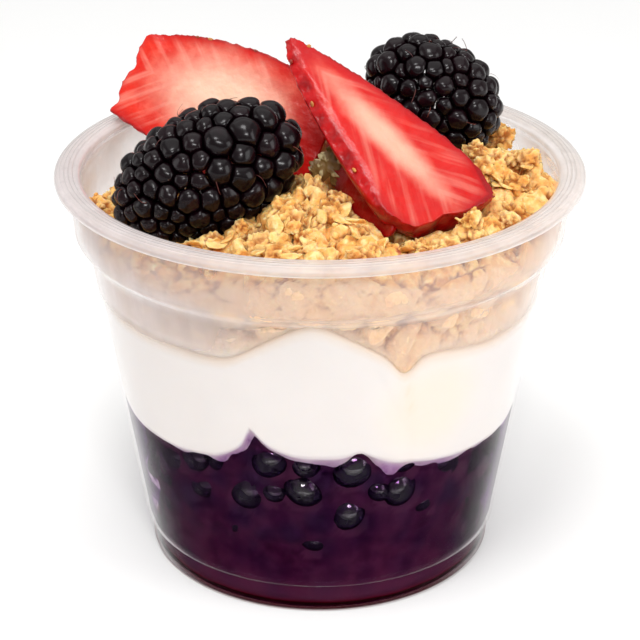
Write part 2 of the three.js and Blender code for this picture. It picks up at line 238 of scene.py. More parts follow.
def tree_of(*pieces):
    """A search tree that finds the nearest or next surface of the pieces."""
    vertices, faces = [], []
    for piece in pieces:
        start = len(vertices)
        vertices += [v.co / MM for v in piece.data.vertices]
        faces += [[start + i for i in face.vertices] for face in piece.data.polygons]
    return BVHTree.FromPolygons(vertices, faces)


# %% Random turns and places
def seeded(seed):
    """Random numbers between 0 and 1 that are the same in every run."""
    return np.random.default_rng(seed).random


def shift_by(rand, reach):
    return Vector((rand(), rand(), rand())) * reach


def tumbled(rand, up):
    """A random turn about a way that leans towards the top the more, the larger `up` is."""
    return Matrix.Rotation(6.3 * rand(), 4, Vector((rand() - 0.5, rand() - 0.5, up)))


def turned_to(direction, twist=0.0):
    """A rotation that sends the model's top towards a direction."""
    top = Vector(direction).to_track_quat("Z", "Y").to_matrix().to_4x4()
    return top @ Matrix.Rotation(twist, 4, "Z")


def placed(middle, turn, size=1.0):
    return Matrix.Translation(middle) @ turn @ Matrix.Scale(size, 4)


# %% Many balls or copies in one mesh
def joined(name, parts):
    """One mesh from parts of (places, faces, tone, hollow). Tone and the painted shade of hollows
    stay on the points.
    """
    faces, start = [], 0
    for places, part_faces, _, _ in parts:
        faces += [tuple(start + v for v in face) for face in part_faces]
        start += len(places)
    mesh = bpy.data.meshes.new(name)
    mesh.from_pydata(np.concatenate([part[0] for part in parts]) * MM, [], faces)
    piece = bpy.data.objects.new(name, mesh)
    scene.collection.objects.link(piece)
    store(piece, "tone", np.concatenate([np.full(len(part[0]), part[2]) for part in parts]))
    store(piece, "hollow", np.concatenate([part[3] for part in parts]))
    smooth(piece)
    return piece


def faces_of(model):
    return [tuple(face.vertices) for face in model.data.polygons]


def join_copies(name, models, copies):
    """One mesh from copies of the models. A copy is (the model's number, its matrix, its tone)."""
    shapes = []
    for model in models:
        hollow = np.zeros(len(model.data.vertices), np.float32)
        if "hollow" in model.data.attributes:
            model.data.attributes["hollow"].data.foreach_get("value", hollow)
        shapes.append((vertex_places(model), faces_of(model), hollow))
    parts = []
    for index, matrix, tone in copies:
        places, faces, hollow = shapes[index]
        turned = places @ np.array(matrix.to_3x3()).T + np.array(matrix.translation)
        parts.append((turned, faces, tone, hollow))
    throw_away(models)
    return joined(name, parts)


# %% [markdown]
# ## Materials
#
# Every finish is made of the same few parts: a shader, cloudy patterns of a real size that vary
# its colour, and a fine bump. A small class keeps the wiring short. All patterns are placed by
# the piece's own coordinates, so they stay on it.


# %% A short way to wire materials
class Finish:
    def __init__(self, name, **sockets):
        self.material = bpy.data.materials.new(name)
        self.material.use_nodes = True
        self.nodes = self.material.node_tree.nodes
        self.links = self.material.node_tree.links
        self.shader = self.nodes["Principled BSDF"]
        self.place = self.add("ShaderNodeTexCoord").outputs["Object"]
        self.height = self.add("ShaderNodeSeparateXYZ", {0: self.place}).outputs["Z"]
        for socket, value in sockets.items():
            self.shader.inputs[socket.replace("_", " ")].default_value = value

    def add(self, kind, inputs=(), **settings):
        """A new node. Each input is a value, or an output of another node that is linked to it."""
        node = self.nodes.new(kind)
        for name, value in settings.items():
            setattr(node, name, value)
        for socket, value in dict(inputs).items():
            if isinstance(value, bpy.types.NodeSocket):
                self.links.new(value, node.inputs[socket])
            else:
                node.inputs[socket].default_value = value
        return node

    def put(self, socket, value):
        self.links.new(value, self.shader.inputs[socket])

    def show(self, shader):
        """Shows another shader than the usual one."""
        self.links.new(shader.outputs[0], self.nodes["Material Output"].inputs["Surface"])

    def blend(self, factor, first, second):
        inputs = {0: factor, 1: first.outputs[0], 2: second.outputs[0]}
        return self.add("ShaderNodeMixShader", inputs)

    def attribute(self, name):
        return self.add("ShaderNodeAttribute", attribute_name=name).outputs["Fac"]

    def math(self, operation, first, *others):
        """Works through the numbers from left to right. A root has only one."""
        for other in others or (0.0,):
            inputs = {0: first, 1: other}
            first = self.add("ShaderNodeMath", inputs, operation=operation).outputs[0]
        return first

    def times(self, *factors):
        return self.math("MULTIPLY", *factors)

    def plus(self, *terms):
        return self.math("ADD", *terms)

    def minus(self, whole, part):
        return self.math("SUBTRACT", whole, part)

    def distance_to(self, place):
        inputs = {0: self.place, 1: Vector(place) * MM}
        return self.add("ShaderNodeVectorMath", inputs, operation="DISTANCE").outputs["Value"]

    def edge_on(self):
        """0 where the surface faces the eye, 1 where it is seen edge on."""
        return self.add("ShaderNodeLayerWeight", {"Blend": 0.5}).outputs["Facing"]

    def clouds(self, size, detail=3.0, stretch=(1, 1, 1)):
        """Cloudy noise whose spots are about `size` millimetres across."""
        scaled = self.add("ShaderNodeMapping", {"Vector": self.place, "Scale": stretch})
        inputs = {"Vector": scaled.outputs[0], "Scale": 1 / (size * MM), "Detail": detail}
        return self.add("ShaderNodeTexNoise", inputs).outputs["Fac"]

    def cells(self, size):
        inputs = {"Vector": self.place, "Scale": 1 / (size * MM)}
        return self.add("ShaderNodeTexVoronoi", inputs).outputs["Distance"]

    def between(self, value, low, high, to_low=0.0, to_high=1.0):
        """Remaps a number smoothly from one range to another."""
        inputs = {"Value": value, "From Min": low, "From Max": high}
        inputs |= {"To Min": to_low, "To Max": to_high}
        return self.add("ShaderNodeMapRange", inputs, interpolation_type="SMOOTHSTEP").outputs[0]

    def mix(self, factor, first, second):
        inputs = {0: factor, 6: first, 7: second}
        return self.add("ShaderNodeMix", inputs, data_type="RGBA").outputs[2]

    def bump(self, height, depth, strength=1.0):
        inputs = {"Height": height, "Distance": depth * MM, "Strength": strength}
        self.put("Normal", self.add("ShaderNodeBump", inputs).outputs[0])


def colour(red, green, blue):
    """A colour as a screen shows it, 0 to 255, turned into the linear numbers that shaders use."""
    shares = [value / 255 for value in (red, green, blue)]
    return (*(v / 12.92 if v < 0.0404 else ((v + 0.055) / 1.055) ** 2.4 for v in shares), 1)


# %% [markdown]
# ## The table
#
# A plain white sheet, so large that its edge is never seen. A trace of texture keeps it from
# looking like nothing at all.

# %% Table
start_clean()
bpy.ops.mesh.primitive_plane_add(size=14)
table = bpy.context.object
table.name = "table"
white_sheet = Finish("white_sheet", Roughness=0.6)
whites = colour(251, 251, 251), colour(254, 254, 253)
white_sheet.put("Base Color", white_sheet.mix(white_sheet.clouds(60), *whites))
table.data.materials.append(white_sheet.material)
print("the table is", round(table.dimensions.x), "metres wide")

# %% [markdown]
# ## The cup
#
# The cup is formed from one thin sheet of clear plastic that was drawn into a mould: a raised
# floor, a standing ring, a stepped foot, a straight wall, a shoulder that keeps stacked cups
# apart, and a rim that is rolled outwards. A surface of revolution suits it, so its section is
# drawn point by point, its corners are rounded, and it is spun. The sheet then gets its
# thickness.

# %% The cup's section
WALL = 0.75
CUP_SIDES, WALL_STEPS = 144, 36
RIM_MIDDLE, RIM_HALF = (43.62, 70.93), (2.33, 1.15)
RIB = 0.07  # height of the fine ribs on top of the rim
FOOT = [
    (0, 1.5), (24.4, 1.5), (25.0, 1.2), (25.7, 0.3), (26.3, 0), (29.9, 0), (30.5, 0.2),
    (30.85, 0.7), (31.0, 2.4), (31.05, 4.7), (31.1, 5.2), (31.35, 5.5), (31.8, 5.6), (32, 5.9),
]
SHOULDER = [(42, 60.2), (42.8, 61.4), (43.0, 64.0), (43.0, 66.8), (42.6, 68.6), (42.05, 70.0)]
straight_wall = np.linspace((32, 6.1), (40.5, 59), WALL_STEPS + 1)[1:]


def rolled_rim():
    """The curl of the rim, from the inside over the top and down again."""
    points = []
    for degrees in range(190, -66, -5):
        turn = math.radians(degrees)
        out = (RIM_HALF[0] - WALL) * math.cos(turn)
        ribs = RIB * math.sin(turn) ** 2 * math.cos(9.4 * (out - 0.2))
        up = (RIM_HALF[1] - WALL - RIB) * math.sin(turn) + ribs
        points.append((RIM_MIDDLE[0] + out, RIM_MIDDLE[1] + up))
    return points


cup_section = [(x, 0, z) for x, z in [*FOOT, *straight_wall, *SHOULDER, *rolled_rim()]]
print("points in the cup's section:", len(cup_section))

# %% Spin the cup
cup = single_vertex()
draw_line(cup_section)
spin_up((0, 0, 1), CUP_SIDES)
bpy.ops.object.mode_set(mode="OBJECT")
# A face halfway up the wall tells whether the sheet's outside is the cup's outside.
side = min(cup.data.polygons, key=lambda face: abs(face.center.z / MM - 40))
if side.normal.xy.dot(side.center.xy) < 0:
    cup.data.flip_normals()
apply_modifier(cup, "SOLIDIFY", thickness=WALL * MM, offset=-1, use_even_offset=True)
smooth(cup)
print("the cup's radius is", round(radii_of(vertex_places(cup)).max(), 2), "mm")

# %% [markdown]
# ## Where the layers meet
#
# Each spoonful of yogurt sags into the compote and heaps up against the wall, so both of the
# yogurt's edges are wavy. The waves are written down as spoonfuls, each with its place round the
# cup in degrees from the front, and the lowest or highest of them counts.

# %% The waves
# Place, spread, lowest height, rise at the sides and roundness of each sag.
SAGS = [
    (-55, 36, 29.7, 11.7, 3), (0, 20, 33.1, 13, 2.8), (60, 55, 28.4, 10, 2),
    (128, 42, 29.6, 11, 2.4), (-168, 36, 31, 11, 2.6), (-112, 36, 28.8, 11, 2.4),
]
# Place, height, slope of the sides and roundness of the top of each heap.
HEAPS = [
    (-46, 50.9, 0.05, 1.2), (-2, 58.8, 0.47, 2), (29, 51.2, 0.12, 0.5), (66, 50, 0.06, 1),
    (110, 53.4, 0.2, 1.5), (160, 51.5, 0.12, 1), (-150, 54.2, 0.22, 1.5), (-100, 51.4, 0.1, 1),
]
COMPOTE_LEVEL, YOGURT_LEVEL = 32, 51
TIP_AT, TIP_SPREAD, TIP_DEPTH = 21.5, 3.2, 2.2  # where granola runs down between two spoonfuls


def angle_between(a, b):
    return (a - b + 180) % 360 - 180


def yogurt_bottom(angle):
    def sag(at, spread, low, rise, power):
        u = min(abs(angle_between(angle, at)) / spread, 1)
        return low + rise * (1 - (1 - u**power) ** (1 / power))

    return min(sag(*spoonful) for spoonful in SAGS)


def granola_tip(angle):
    """How much deeper the granola reaches down between two spoonfuls of yogurt."""
    return TIP_DEPTH * math.exp(-((angle_between(angle, TIP_AT) / TIP_SPREAD) ** 2))


def yogurt_top(angle):
    def heap(at, top, slope, round_off):
        away = angle_between(angle, at) * slope
        return top - (math.hypot(away, round_off) - round_off)

    heights = np.array([heap(*spoonful) for spoonful in HEAPS])
    melted = 0.35 + 0.9 * float(smoothstep(-2, -40, angle) * smoothstep(-120, -80, angle))
    above = melted * np.log(np.exp((heights - heights.max()) / melted).sum())
    return float(above + heights.max()) - granola_tip(angle)


def along_edge(height_at, places):
    """The height of a wavy edge at each place's angle."""
    return np.array([height_at(angle) for angle in turns_of(places)])


# The cup's inside, as radius and height, and how far the food reaches into the plastic.
FOOT_TOP = 6.8
INSIDE = [
    (29.6, 0.75), (30.15, 1.3), (30.25, 2.9), (30.35, 5.2), (31.2, FOOT_TOP),
    (39.75, 59.4), (42.05, 61.9), (42.4, 66), (41.55, 69.4),
]
INTO_WALL = 0.45


def inside_radius(height):
    return np.interp(height, [z for _, z in INSIDE], [r for r, _ in INSIDE])


print("the yogurt's lowest sag:", round(min(map(yogurt_bottom, range(-180, 180))), 1), "mm")

# %% [markdown]
# ## Clear plastic
#
# Where food wets the plastic, light passes straight through it. Above the yogurt it is dry,
# dusted with crumbs and a little misted, and looks milky. The sheet is so thin that it hardly
# bends light, so it is made of three shaders: one that lets light pass, a milky one that gets
# stronger where the wall is dry or seen edge on, and a mirror that gets stronger at a slanting
# view. Numbers on each vertex say how dry and wetted it is, and where its left side is misted;
# there the milk is also painted greyer, as painted shade for the weaker light on that side.

# %% How dry the cup is
places = vertex_places(cup)
turns = turns_of(places)
wet_level = along_edge(yogurt_top, places)
inner_side = radii_of(places) < inside_radius(places[:, 2]) + 0.3
store(cup, "dry", smoothstep(wet_level - 2, wet_level + 3, places[:, 2]))
store(cup, "wetted", inner_side & (places[:, 2] < wet_level + 0.5))
# The misted left side: more milk there, and a greyer milk colour that is painted shade for the
# weaker light from the left.
store(cup, "misted_and_shaded", smoothstep(-8, -34, turns) * smoothstep(-150, -80, turns))
print("the plastic is dry above", round(wet_level.min(), 1), "mm at its lowest")

# %% Clear plastic
plastic = Finish("clear_plastic", Roughness=0.3)
misted_and_shaded, edge_on = plastic.attribute("misted_and_shaded"), plastic.edge_on()
# Painted shade: the milk is greyer on the misted left side, where less light falls.
plastic.put("Base Color", plastic.mix(misted_and_shaded, colour(242, 236, 233), colour(230, 223, 224)))
streaks = plastic.between(plastic.clouds(7, 4, stretch=(1, 1, 0.35)), 0.3, 0.75, 0.8, 1.15)
patches = plastic.between(plastic.clouds(16, 2), 0.3, 0.7, 0.85, 1.12)
at_rim = plastic.between(plastic.height, 69 * MM, 71 * MM, 0.0, 0.2)
veil = plastic.plus(plastic.times(misted_and_shaded, 0.2), 0.27, at_rim)
longer_way = plastic.between(edge_on, 0.2, 1.0, 0.75, 2.2)
dry_milk = plastic.times(plastic.attribute("dry"), veil, longer_way, streaks, patches)
milk = plastic.math("MAXIMUM", dry_milk, plastic.between(edge_on, 0.3, 1.0, 0.0, 0.045))
at_foot = plastic.between(plastic.height, 0.2 * MM, 2 * MM, 1.0, 0.0)
passing = plastic.mix(at_foot, (0.98, 0.975, 0.975, 1), colour(134, 30, 58))
clear = plastic.add("ShaderNodeBsdfTransparent", {"Color": passing})
glowing = plastic.add("ShaderNodeBsdfTranslucent", {"Color": colour(240, 234, 230)})
hazy = plastic.blend(milk, clear, plastic.blend(0.4, plastic.shader, glowing))
gloss = plastic.add("ShaderNodeBsdfGlossy", {"Color": (1, 1, 1, 1), "Roughness": 0.07})
slant = plastic.add("ShaderNodeFresnel", {"IOR": 1.42}).outputs[0]
mirror = plastic.between(slant, 0.065, 0.4, 0.0, 0.5)
no_food = plastic.minus(1.0, plastic.attribute("wetted"))
outside = plastic.minus(1.0, plastic.add("ShaderNodeNewGeometry").outputs["Backfacing"])
plastic.show(plastic.blend(plastic.times(mirror, no_food, outside), hazy, gloss))
finish(cup, "clear_cup", plastic, ["cup"])

# %% [markdown]
# ## Layers
#
# A layer is soft, so it fills the cup to the wall and its edges follow the waves. It is made from
# one circle that is extruded ring by ring: across the underside, up the wall and back over the
# top. Each ring is laid to a radius and a height that may change with the angle. Every layer
# reaches a little way into the plastic, because a gap would look like air.


# %% A body from rings
def lay_ring(piece, ring):
    """Moves the selected ring of vertices to the ring's radius and height at each angle."""
    mesh = bmesh.from_edit_mesh(piece.data)
    for vertex in mesh.verts:
        if vertex.select:
            turn = math.atan2(vertex.co.x, -vertex.co.y)
            radius, height = ring(math.degrees(turn))
            vertex.co = round_the_cup(radius, turn, height) * MM
    bmesh.update_edit_mesh(piece.data)


def ring_body(rings, sides=240):
    """A closed body from rings, listed from the underside's middle to the top's middle."""
    start_clean()
    bpy.ops.mesh.primitive_circle_add(vertices=sides, radius=0.01)
    piece = bpy.context.object
    bpy.ops.object.mode_set(mode="EDIT")
    lay_ring(piece, rings[0])
    bpy.ops.mesh.extrude_region_move()
    bpy.ops.mesh.merge(type="CENTER")
    bpy.ops.mesh.select_all(action="DESELECT")
    mesh = bmesh.from_edit_mesh(piece.data)
    for edge in mesh.edges:
        if edge.is_boundary:
            edge.select_set(True)
    bmesh.update_edit_mesh(piece.data)
    for ring in rings[1:]:
        bpy.ops.mesh.extrude_region_move()
        lay_ring(piece, ring)
    bpy.ops.mesh.extrude_region_move()
    bpy.ops.mesh.merge(type="CENTER")
    bpy.ops.mesh.select_all(action="SELECT")
    bpy.ops.mesh.normals_make_consistent(inside=False)
    bpy.ops.object.mode_set(mode="OBJECT")
    return piece


# %% Kinds of rings
def flat(radius, height):
    return lambda angle: (radius, height)


def near_wall(height_at, inward):
    """A ring at a height that changes with the angle, at a distance from the wall."""

    def ring(angle):
        height = height_at(angle)
        return inside_radius(height) - inward, height

    return ring


def between_edges(low_at, high_at, share, inward):
    return near_wall(lambda angle: low_at(angle) * (1 - share) + high_at(angle) * share, inward)


def across(height_at, level, share):
    """A ring on a boundary, which calms from its wavy edge to a level in the middle."""

    def ring(angle):
        edge = height_at(angle)
        height = level + (edge - level) * smoothstep(0.45, 1, share)
        return share * inside_radius(edge), float(height)

    return ring


def foot_top(angle):
    return FOOT_TOP


# %% [markdown]
# ## Compote
#
# The compote is a dark syrup with soft berries in it. At the wall one looks a millimetre or two
# into it, at berries that press against the plastic, and behind them it is too dark to see. So it
# is three pieces: a pulp of crushed fruit, whole berries that are half sunk in it, and last a
# see-through skin of syrup that fills the space between them and the wall.

# %% Pulp
PULP_IN = 1.8  # how far the pulp stays behind the wall
PULP_FOOT = [
    (12, 2.6), (24.8, 2.6), (26.6, 1.0), (29.5, 1.0), (30.0, 1.5), (30.05, 3.0), (29.9, 5.0),
]
OVER_COMPOTE = (0.9, 0.7, 0.5, 0.25)
up_the_wall = np.linspace(0.04, 1, 22)
pulp = ring_body(
    [flat(radius, height) for radius, height in PULP_FOOT]
    + [between_edges(foot_top, yogurt_bottom, share, PULP_IN) for share in up_the_wall]
    + [across(yogurt_bottom, COMPOTE_LEVEL, share) for share in OVER_COMPOTE]
)
places = vertex_places(pulp)
outward = places * (1, 1, 0) / np.maximum(radii_of(places), 1)[:, None]
at_side = smoothstep(24, 27, radii_of(places))
lumpy = at_side * (0.15 + 0.85 * smoothstep(4, 11, places[:, 2]))
lumps = 1.3 * lumpy * np.clip(uneven(places, 4.5), -0.8, 0.8)
move_vertices(pulp, places + outward * lumps[:, None])
smooth(pulp)

pulp_finish = Finish("crushed_berries", Roughness=0.6, Specular_IOR_Level=0.0)
skins = pulp_finish.between(pulp_finish.cells(5.5), 0.2, 0.75)
crushed = pulp_finish.mix(skins, colour(48, 30, 51), colour(66, 34, 54))
low = pulp_finish.between(pulp_finish.height, 1.5 * MM, 20 * MM, 0.8, 0.0)
wine_red = pulp_finish.times(low, pulp_finish.clouds(7, 3))
reddened = pulp_finish.mix(wine_red, crushed, colour(86, 31, 54))
at_foot = pulp_finish.between(pulp_finish.height, 0.8 * MM, 2.2 * MM, 0.8, 0.0)
pulp_finish.put("Base Color", pulp_finish.mix(at_foot, reddened, colour(130, 14, 44)))
pulp_finish.bump(pulp_finish.clouds(2.0, 3), 0.15, 0.5)
finish(pulp, "compote_pulp", pulp_finish)

# %% [markdown]
# ## Blueberries
#
# A blueberry is a slightly flattened ball with a small star-shaped crown at one end. One berry is
# modelled from a sphere: its top is pressed in, and a ring of short teeth is raised round the
# dent. The others are copies of it, turned and sized at random. Those at the front have their own
# places, and the rest are spread round the wall and kept apart. Their glossy coat is put only
# where the skin faces the front lamp: the highlight's place is painted into the skin, and the
# rest of each berry reflects little of the room.

# %% One blueberry
start_clean()
bpy.ops.mesh.primitive_uv_sphere_add(segments=24, ring_count=16, radius=MM)
blueberry = bpy.context.object
places = vertex_places(blueberry)
off_axis, on_top = radii_of(places), places[:, 2] > 0
teeth = 0.10 + 0.07 * np.cos(5 * np.arctan2(places[:, 1], places[:, 0]))
crown = teeth * np.exp(-(((off_axis - 0.3) / 0.09) ** 2)) * on_top
dent = -0.14 * np.exp(-((off_axis / 0.2) ** 2)) * on_top
places[:, 2] = places[:, 2] * 0.84 + crown + dent
move_vertices(blueberry, places)
smooth(blueberry)

# %% Blueberries against the wall
# Degrees from the front, height, radius and how deep the berry lies behind the wall.
FRONT_BERRIES = [
    (-14.7, 30.2, 3.9, 0.1), (-23.1, 22.8, 3.9, 0.15), (-4.2, 30.4, 2.9, 0.3),
    (-5.1, 24.8, 3.9, 0.05), (9.7, 29.2, 4.5, 0.2), (8.5, 19.6, 3.8, 0.4),
    (26.2, 23.2, 3.8, 0.05), (26.5, 29.3, 2.9, 0.5), (-42.5, 26.8, 3.5, 0.5),
    (-40.6, 21.2, 3.2, 0.9), (43.5, 25.0, 3.7, 0.6), (-33, 28.6, 2.8, 0.8),
    (18.5, 23.6, 2.6, 0.9), (-14.5, 24.0, 2.6, 1.0), (37, 18.5, 3.0, 1.2),
    (-28, 15.5, 3.2, 1.4), (-55, 24, 3.6, 0.8), (57, 22.5, 3.6, 0.8), (-2, 13.5, 3.2, 1.5),
]
TRIES = 900
LAMPWARD = (0.03, -0.84, 0.54)
rand = seeded(11)
berries = [(math.radians(a), z, r, d) for a, z, r, d in FRONT_BERRIES]
for _ in range(TRIES):
    turn = math.radians(60 + 240 * rand())
    z = 8 + 22 * rand() ** 0.8
    r = 3.3 + 1.2 * rand()
    gaps = [math.hypot((turn - t) * 35, z - h) / (r + s) for t, h, s, _ in berries]
    if min(gaps) > 0.98 and z + r < yogurt_bottom(math.degrees(turn)) + 0.5:
        berries.append((turn, z, r, 0.2 + 1.4 * rand()))
copies = []
for turn, z, r, depth in berries:
    middle = round_the_cup(inside_radius(z) - 0.1 - depth - r * 0.97, turn, z)
    way = Vector((rand() - 0.5, rand() - 0.5, rand() - 0.3))
    copies.append((0, placed(middle, turned_to(way, 6 * rand()), r), rand()))
blueberries = join_copies("blueberries", [blueberry], copies)
store(blueberries, "lampward", vertex_normals(blueberries) @ LAMPWARD)

berry_finish = Finish(
    "blueberry_skin", Roughness=0.3, Specular_IOR_Level=0.0, Coat_Roughness=0.1, Coat_IOR=1.9
)
# Painted highlight: the coat is strong only where the skin faces the front lamp, and weak
# elsewhere.
lamp_facing_gloss = berry_finish.between(berry_finish.attribute("lampward"), 0.82, 0.95, 0.12, 1.0)
berry_finish.put("Coat Weight", lamp_facing_gloss)
dusk = berry_finish.mix(berry_finish.attribute("tone"), colour(10, 4, 16), colour(14, 6, 22))
bloom = berry_finish.between(berry_finish.clouds(2.5, 3), 0.45, 0.75, 0.0, 0.04)
berry_finish.put("Base Color", berry_finish.mix(bloom, dusk, colour(70, 66, 100)))
berry_finish.bump(berry_finish.clouds(0.8, 3), 0.06, 0.5)
finish(blueberries, "blueberries", berry_finish)

# %% [markdown]
# ## Yogurt
#
# Thick yogurt touches the wall in one smooth band, and its edges curl away from the plastic. The
# rings therefore turn inwards below the lower edge and above the upper one. Crumbs smear its
# upper edge, and a little cream trickles down below the granola's tip. Yogurt scatters light
# inside itself, which makes its shadows soft and warm.

# %% Rings of the yogurt
# Where two spoonfuls meet, a shallow fold runs up: its angle at the bottom and top, and its depth.
FOLDS = [
    (-20.5, -27, 0.3), (24, 14, 0.3), (-73, -80, 0.4),
    (98, 92, 0.4), (165, 160, 0.4), (-140, -135, 0.4),
]
CURL_UNDER = [(5.0, 3.6), (3.4, 3.4), (2.1, 2.7), (1.2, 1.8), (0.5, 0.9), (-0.3, 0.15)]
CURL_OVER = [(-0.3, 0.1), (0.3, 0.35), (1.2, 0.55), (2.5, 0.65)]
INWARDS = (0.82, 0.7, 0.55, 0.4, 0.2)


def curled_under(inward, drop_by):
    """A ring of the yogurt's lower edge, which hangs deeper in some places than in others."""

    def hanging(angle):
        turn = math.radians(angle)
        hang = 0.95 + 1.1 * noise.noise(Vector((math.sin(turn), math.cos(turn), 0.3)) * 7)
        return yogurt_bottom(angle) - drop_by * min(max(hang, 0.45), 1.6)

    return near_wall(hanging, inward)


def curled_over(inward, lift):
    return near_wall(lambda angle: yogurt_top(angle) + lift, inward)


def folded(share):
    """A ring on the wall between the yogurt's edges, pressed in a little along the folds."""
    plain = between_edges(yogurt_bottom, yogurt_top, share, -INTO_WALL)
    fading = (1 - 0.6 * share) * float(smoothstep(0.02, 0.3, share))

    def ring(angle):
        radius, height = plain(angle)
        for bottom, top, depth in FOLDS:
            fold = bottom + (top - bottom) * share + 2.5 * math.sin(5 * share)
            off = angle_between(angle, fold)
            radius -= depth * math.exp(-((off / 2.6) ** 2)) * fading
        return radius, height

    return ring


# %% Yogurt
yogurt = ring_body(
    [across(yogurt_bottom, COMPOTE_LEVEL - 1, share) for share in reversed(INWARDS)]
    + [curled_under(inward, drop_by) for inward, drop_by in CURL_UNDER]
    + [folded(share) for share in np.linspace(0.03, 0.97, 16)]
    + [curled_over(inward, lift) for inward, lift in CURL_OVER]
    + [across(yogurt_top, YOGURT_LEVEL, share) for share in INWARDS],
    sides=288,
)
smooth(yogurt)
places = vertex_places(yogurt)
heights = places[:, 2]
crumby = smoothstep(-1.6, 0.2, heights - along_edge(yogurt_top, places))
trickle = np.exp(-(((turns_of(places) - TIP_AT - 0.32 * (49 - heights)) / 1.1) ** 2))
trickle *= smoothstep(38, 42, heights) * (0.6 + 0.4 * np.sin(1.7 * heights))
store(yogurt, "smeared", np.maximum(0.55 * crumby, 0.4 * trickle))

yogurt_finish = Finish(
    "thick_yogurt", Roughness=0.4,
    Subsurface_Weight=0.15, Subsurface_Radius=(2.2, 1.6, 1.1), Subsurface_Scale=MM,
)
patches = yogurt_finish.clouds(14, 2)
smooth_white = yogurt_finish.mix(patches, colour(226, 221, 218), colour(219, 213, 209))
cream_spot = yogurt_finish.distance_to((19, -33, 41))
creamy = yogurt_finish.between(cream_spot, 4 * MM, 13 * MM, 0.8, 0.0)
plain_white = yogurt_finish.mix(creamy, smooth_white, colour(232, 217, 202))
smeared = yogurt_finish.attribute("smeared")
yogurt_finish.put("Base Color", yogurt_finish.mix(smeared, plain_white, colour(226, 200, 172)))
yogurt_finish.bump(yogurt_finish.clouds(5, 2), 0.15, 0.4)
finish(yogurt, "yogurt_layer", yogurt_finish, ["yogurt"])

# %% [markdown]
# ## Syrup
#
# Syrup takes more colour out of the light the thicker it is: a berry at the wall is seen clearly,
# the pulp behind a few millimetres of syrup looks like dark wine, and the yogurt's curled edge
# gets a violet fringe. So a line is sent from each point of the skin straight inwards, and the
# distance to whatever it meets is kept as the thickness. The material raises the syrup's colour
# to that power, and to a higher one where the syrup is seen edge on.

# %% Syrup skin
FLOOR = 2.25
SKIN_IN = -INTO_WALL + 0.06  # a little less deep in the plastic than the other layers
up_the_wall = np.linspace(0.03, 1, 36)


def skin_edge(inward):
    return near_wall(lambda angle: yogurt_bottom(angle) + 0.35, inward)


syrup = ring_body(
    [flat(12, FLOOR - INTO_WALL), flat(24.6, FLOOR - INTO_WALL)]
    + [flat(26.4, INSIDE[0][1] - INTO_WALL), flat(INSIDE[0][0], INSIDE[0][1] - INTO_WALL)]
    + [flat(radius + INTO_WALL, height) for radius, height in INSIDE[1:5]]
    + [between_edges(foot_top, yogurt_bottom, share, SKIN_IN) for share in up_the_wall]
    + [skin_edge(SKIN_IN), skin_edge(1.5)]
    + [across(yogurt_bottom, COMPOTE_LEVEL, share) for share in OVER_COMPOTE],
    sides=320,
)
smooth(syrup)

# %% Thickness of the syrup
# What lies behind the syrup, and how strongly a millimetre of syrup in front of it colours it.
BEHIND = [(tree_of(yogurt), 1.1), (tree_of(pulp), 0.5), (tree_of(blueberries), 0.15)]
NOTHING_MET, LEAST, MOST = 9, 1.15, 3.5
places = vertex_places(syrup)
thickness = np.zeros(len(places))
for i, place in enumerate(places):
    outward = Vector((place[0], place[1], 0)).normalized()
    start = Vector(place) + outward
    hits = [(tree.ray_cast(start, -outward)[3] or NOTHING_MET, strong) for tree, strong in BEHIND]
    distance, strong = min(hits)
    thickness[i] = strong * min(max(distance - LEAST, 0), MOST)
store(syrup, "thickness", thickness)
print("syrup in front of the fruit: up to", round(float(thickness.max()), 1), "mm")

syrup_finish = Finish("dark_syrup")
film, edge_on = syrup_finish.attribute("thickness"), syrup_finish.edge_on()
thin_film = syrup_finish.math(
    "DIVIDE", syrup_finish.times(film, film), syrup_finish.plus(film, 0.5)
)
patchy = syrup_finish.between(syrup_finish.clouds(3.5, 3), 0.3, 0.7, 0.5, 1.5)
longer_way = syrup_finish.between(edge_on, 0.5, 0.95, 1.0, 7.0)
at_edge = syrup_finish.between(edge_on, 0.75, 0.97, 0.0, 3.5)
deep = syrup_finish.math("MAXIMUM", syrup_finish.times(thin_film, patchy, longer_way), at_edge)
deep = syrup_finish.math("MINIMUM", deep, 4.0)
tint = syrup_finish.mix(syrup_finish.clouds(8, 2), colour(202, 176, 222), colour(208, 168, 204))
tinted = syrup_finish.add("ShaderNodeGamma", {"Color": tint, "Gamma": deep}).outputs[0]
syrup_finish.show(syrup_finish.add("ShaderNodeBsdfTransparent", {"Color": tinted}))
finish(syrup, "compote_syrup", syrup_finish, ["compote"])

# %% [markdown]
# ## Granola
#
# Crushed granola is a heap of baked oat clusters, each a knot of flaky grains with shaded cracks
# between them. The heap's main shape is copied from the measured model, where the fruits have
# already pressed their hollows into it. Remeshing gives it an even skin, and every point is then
# raised by leaning, craggy cells of two sizes, big ones for the clusters and small ones for the
# grains, and by fine cloudy noise. How deep a point lies between the grains is kept, so that
# the cracks can be painted browner, as painted shade.

# %% The heap's even skin
FRUITS = [
    "bramble_front", "bramble_back", "strawberry_back", "strawberry_front", "strawberry_under",
]
fruit_tree = tree_of(*(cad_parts[name] for name in FRUITS))


def room_at(place):
    """How far the nearest fruit is."""
    return fruit_tree.find_nearest(Vector(place))[3]


start_clean()
granola = bpy.data.objects.new("granola_copy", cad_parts["granola"].data.copy())
scene.collection.objects.link(granola)
pick(granola)
bpy.ops.object.mode_set(mode="EDIT")
bpy.ops.mesh.select_all(action="SELECT")
bpy.ops.mesh.remove_doubles(threshold=0.001 * MM)
bpy.ops.object.mode_set(mode="OBJECT")
apply_modifier(granola, "REMESH", mode="VOXEL", voxel_size=0.45 * MM)
apply_modifier(granola, "SMOOTH", factor=0.5, iterations=4)
print("granola's skin has", len(granola.data.vertices), "points")


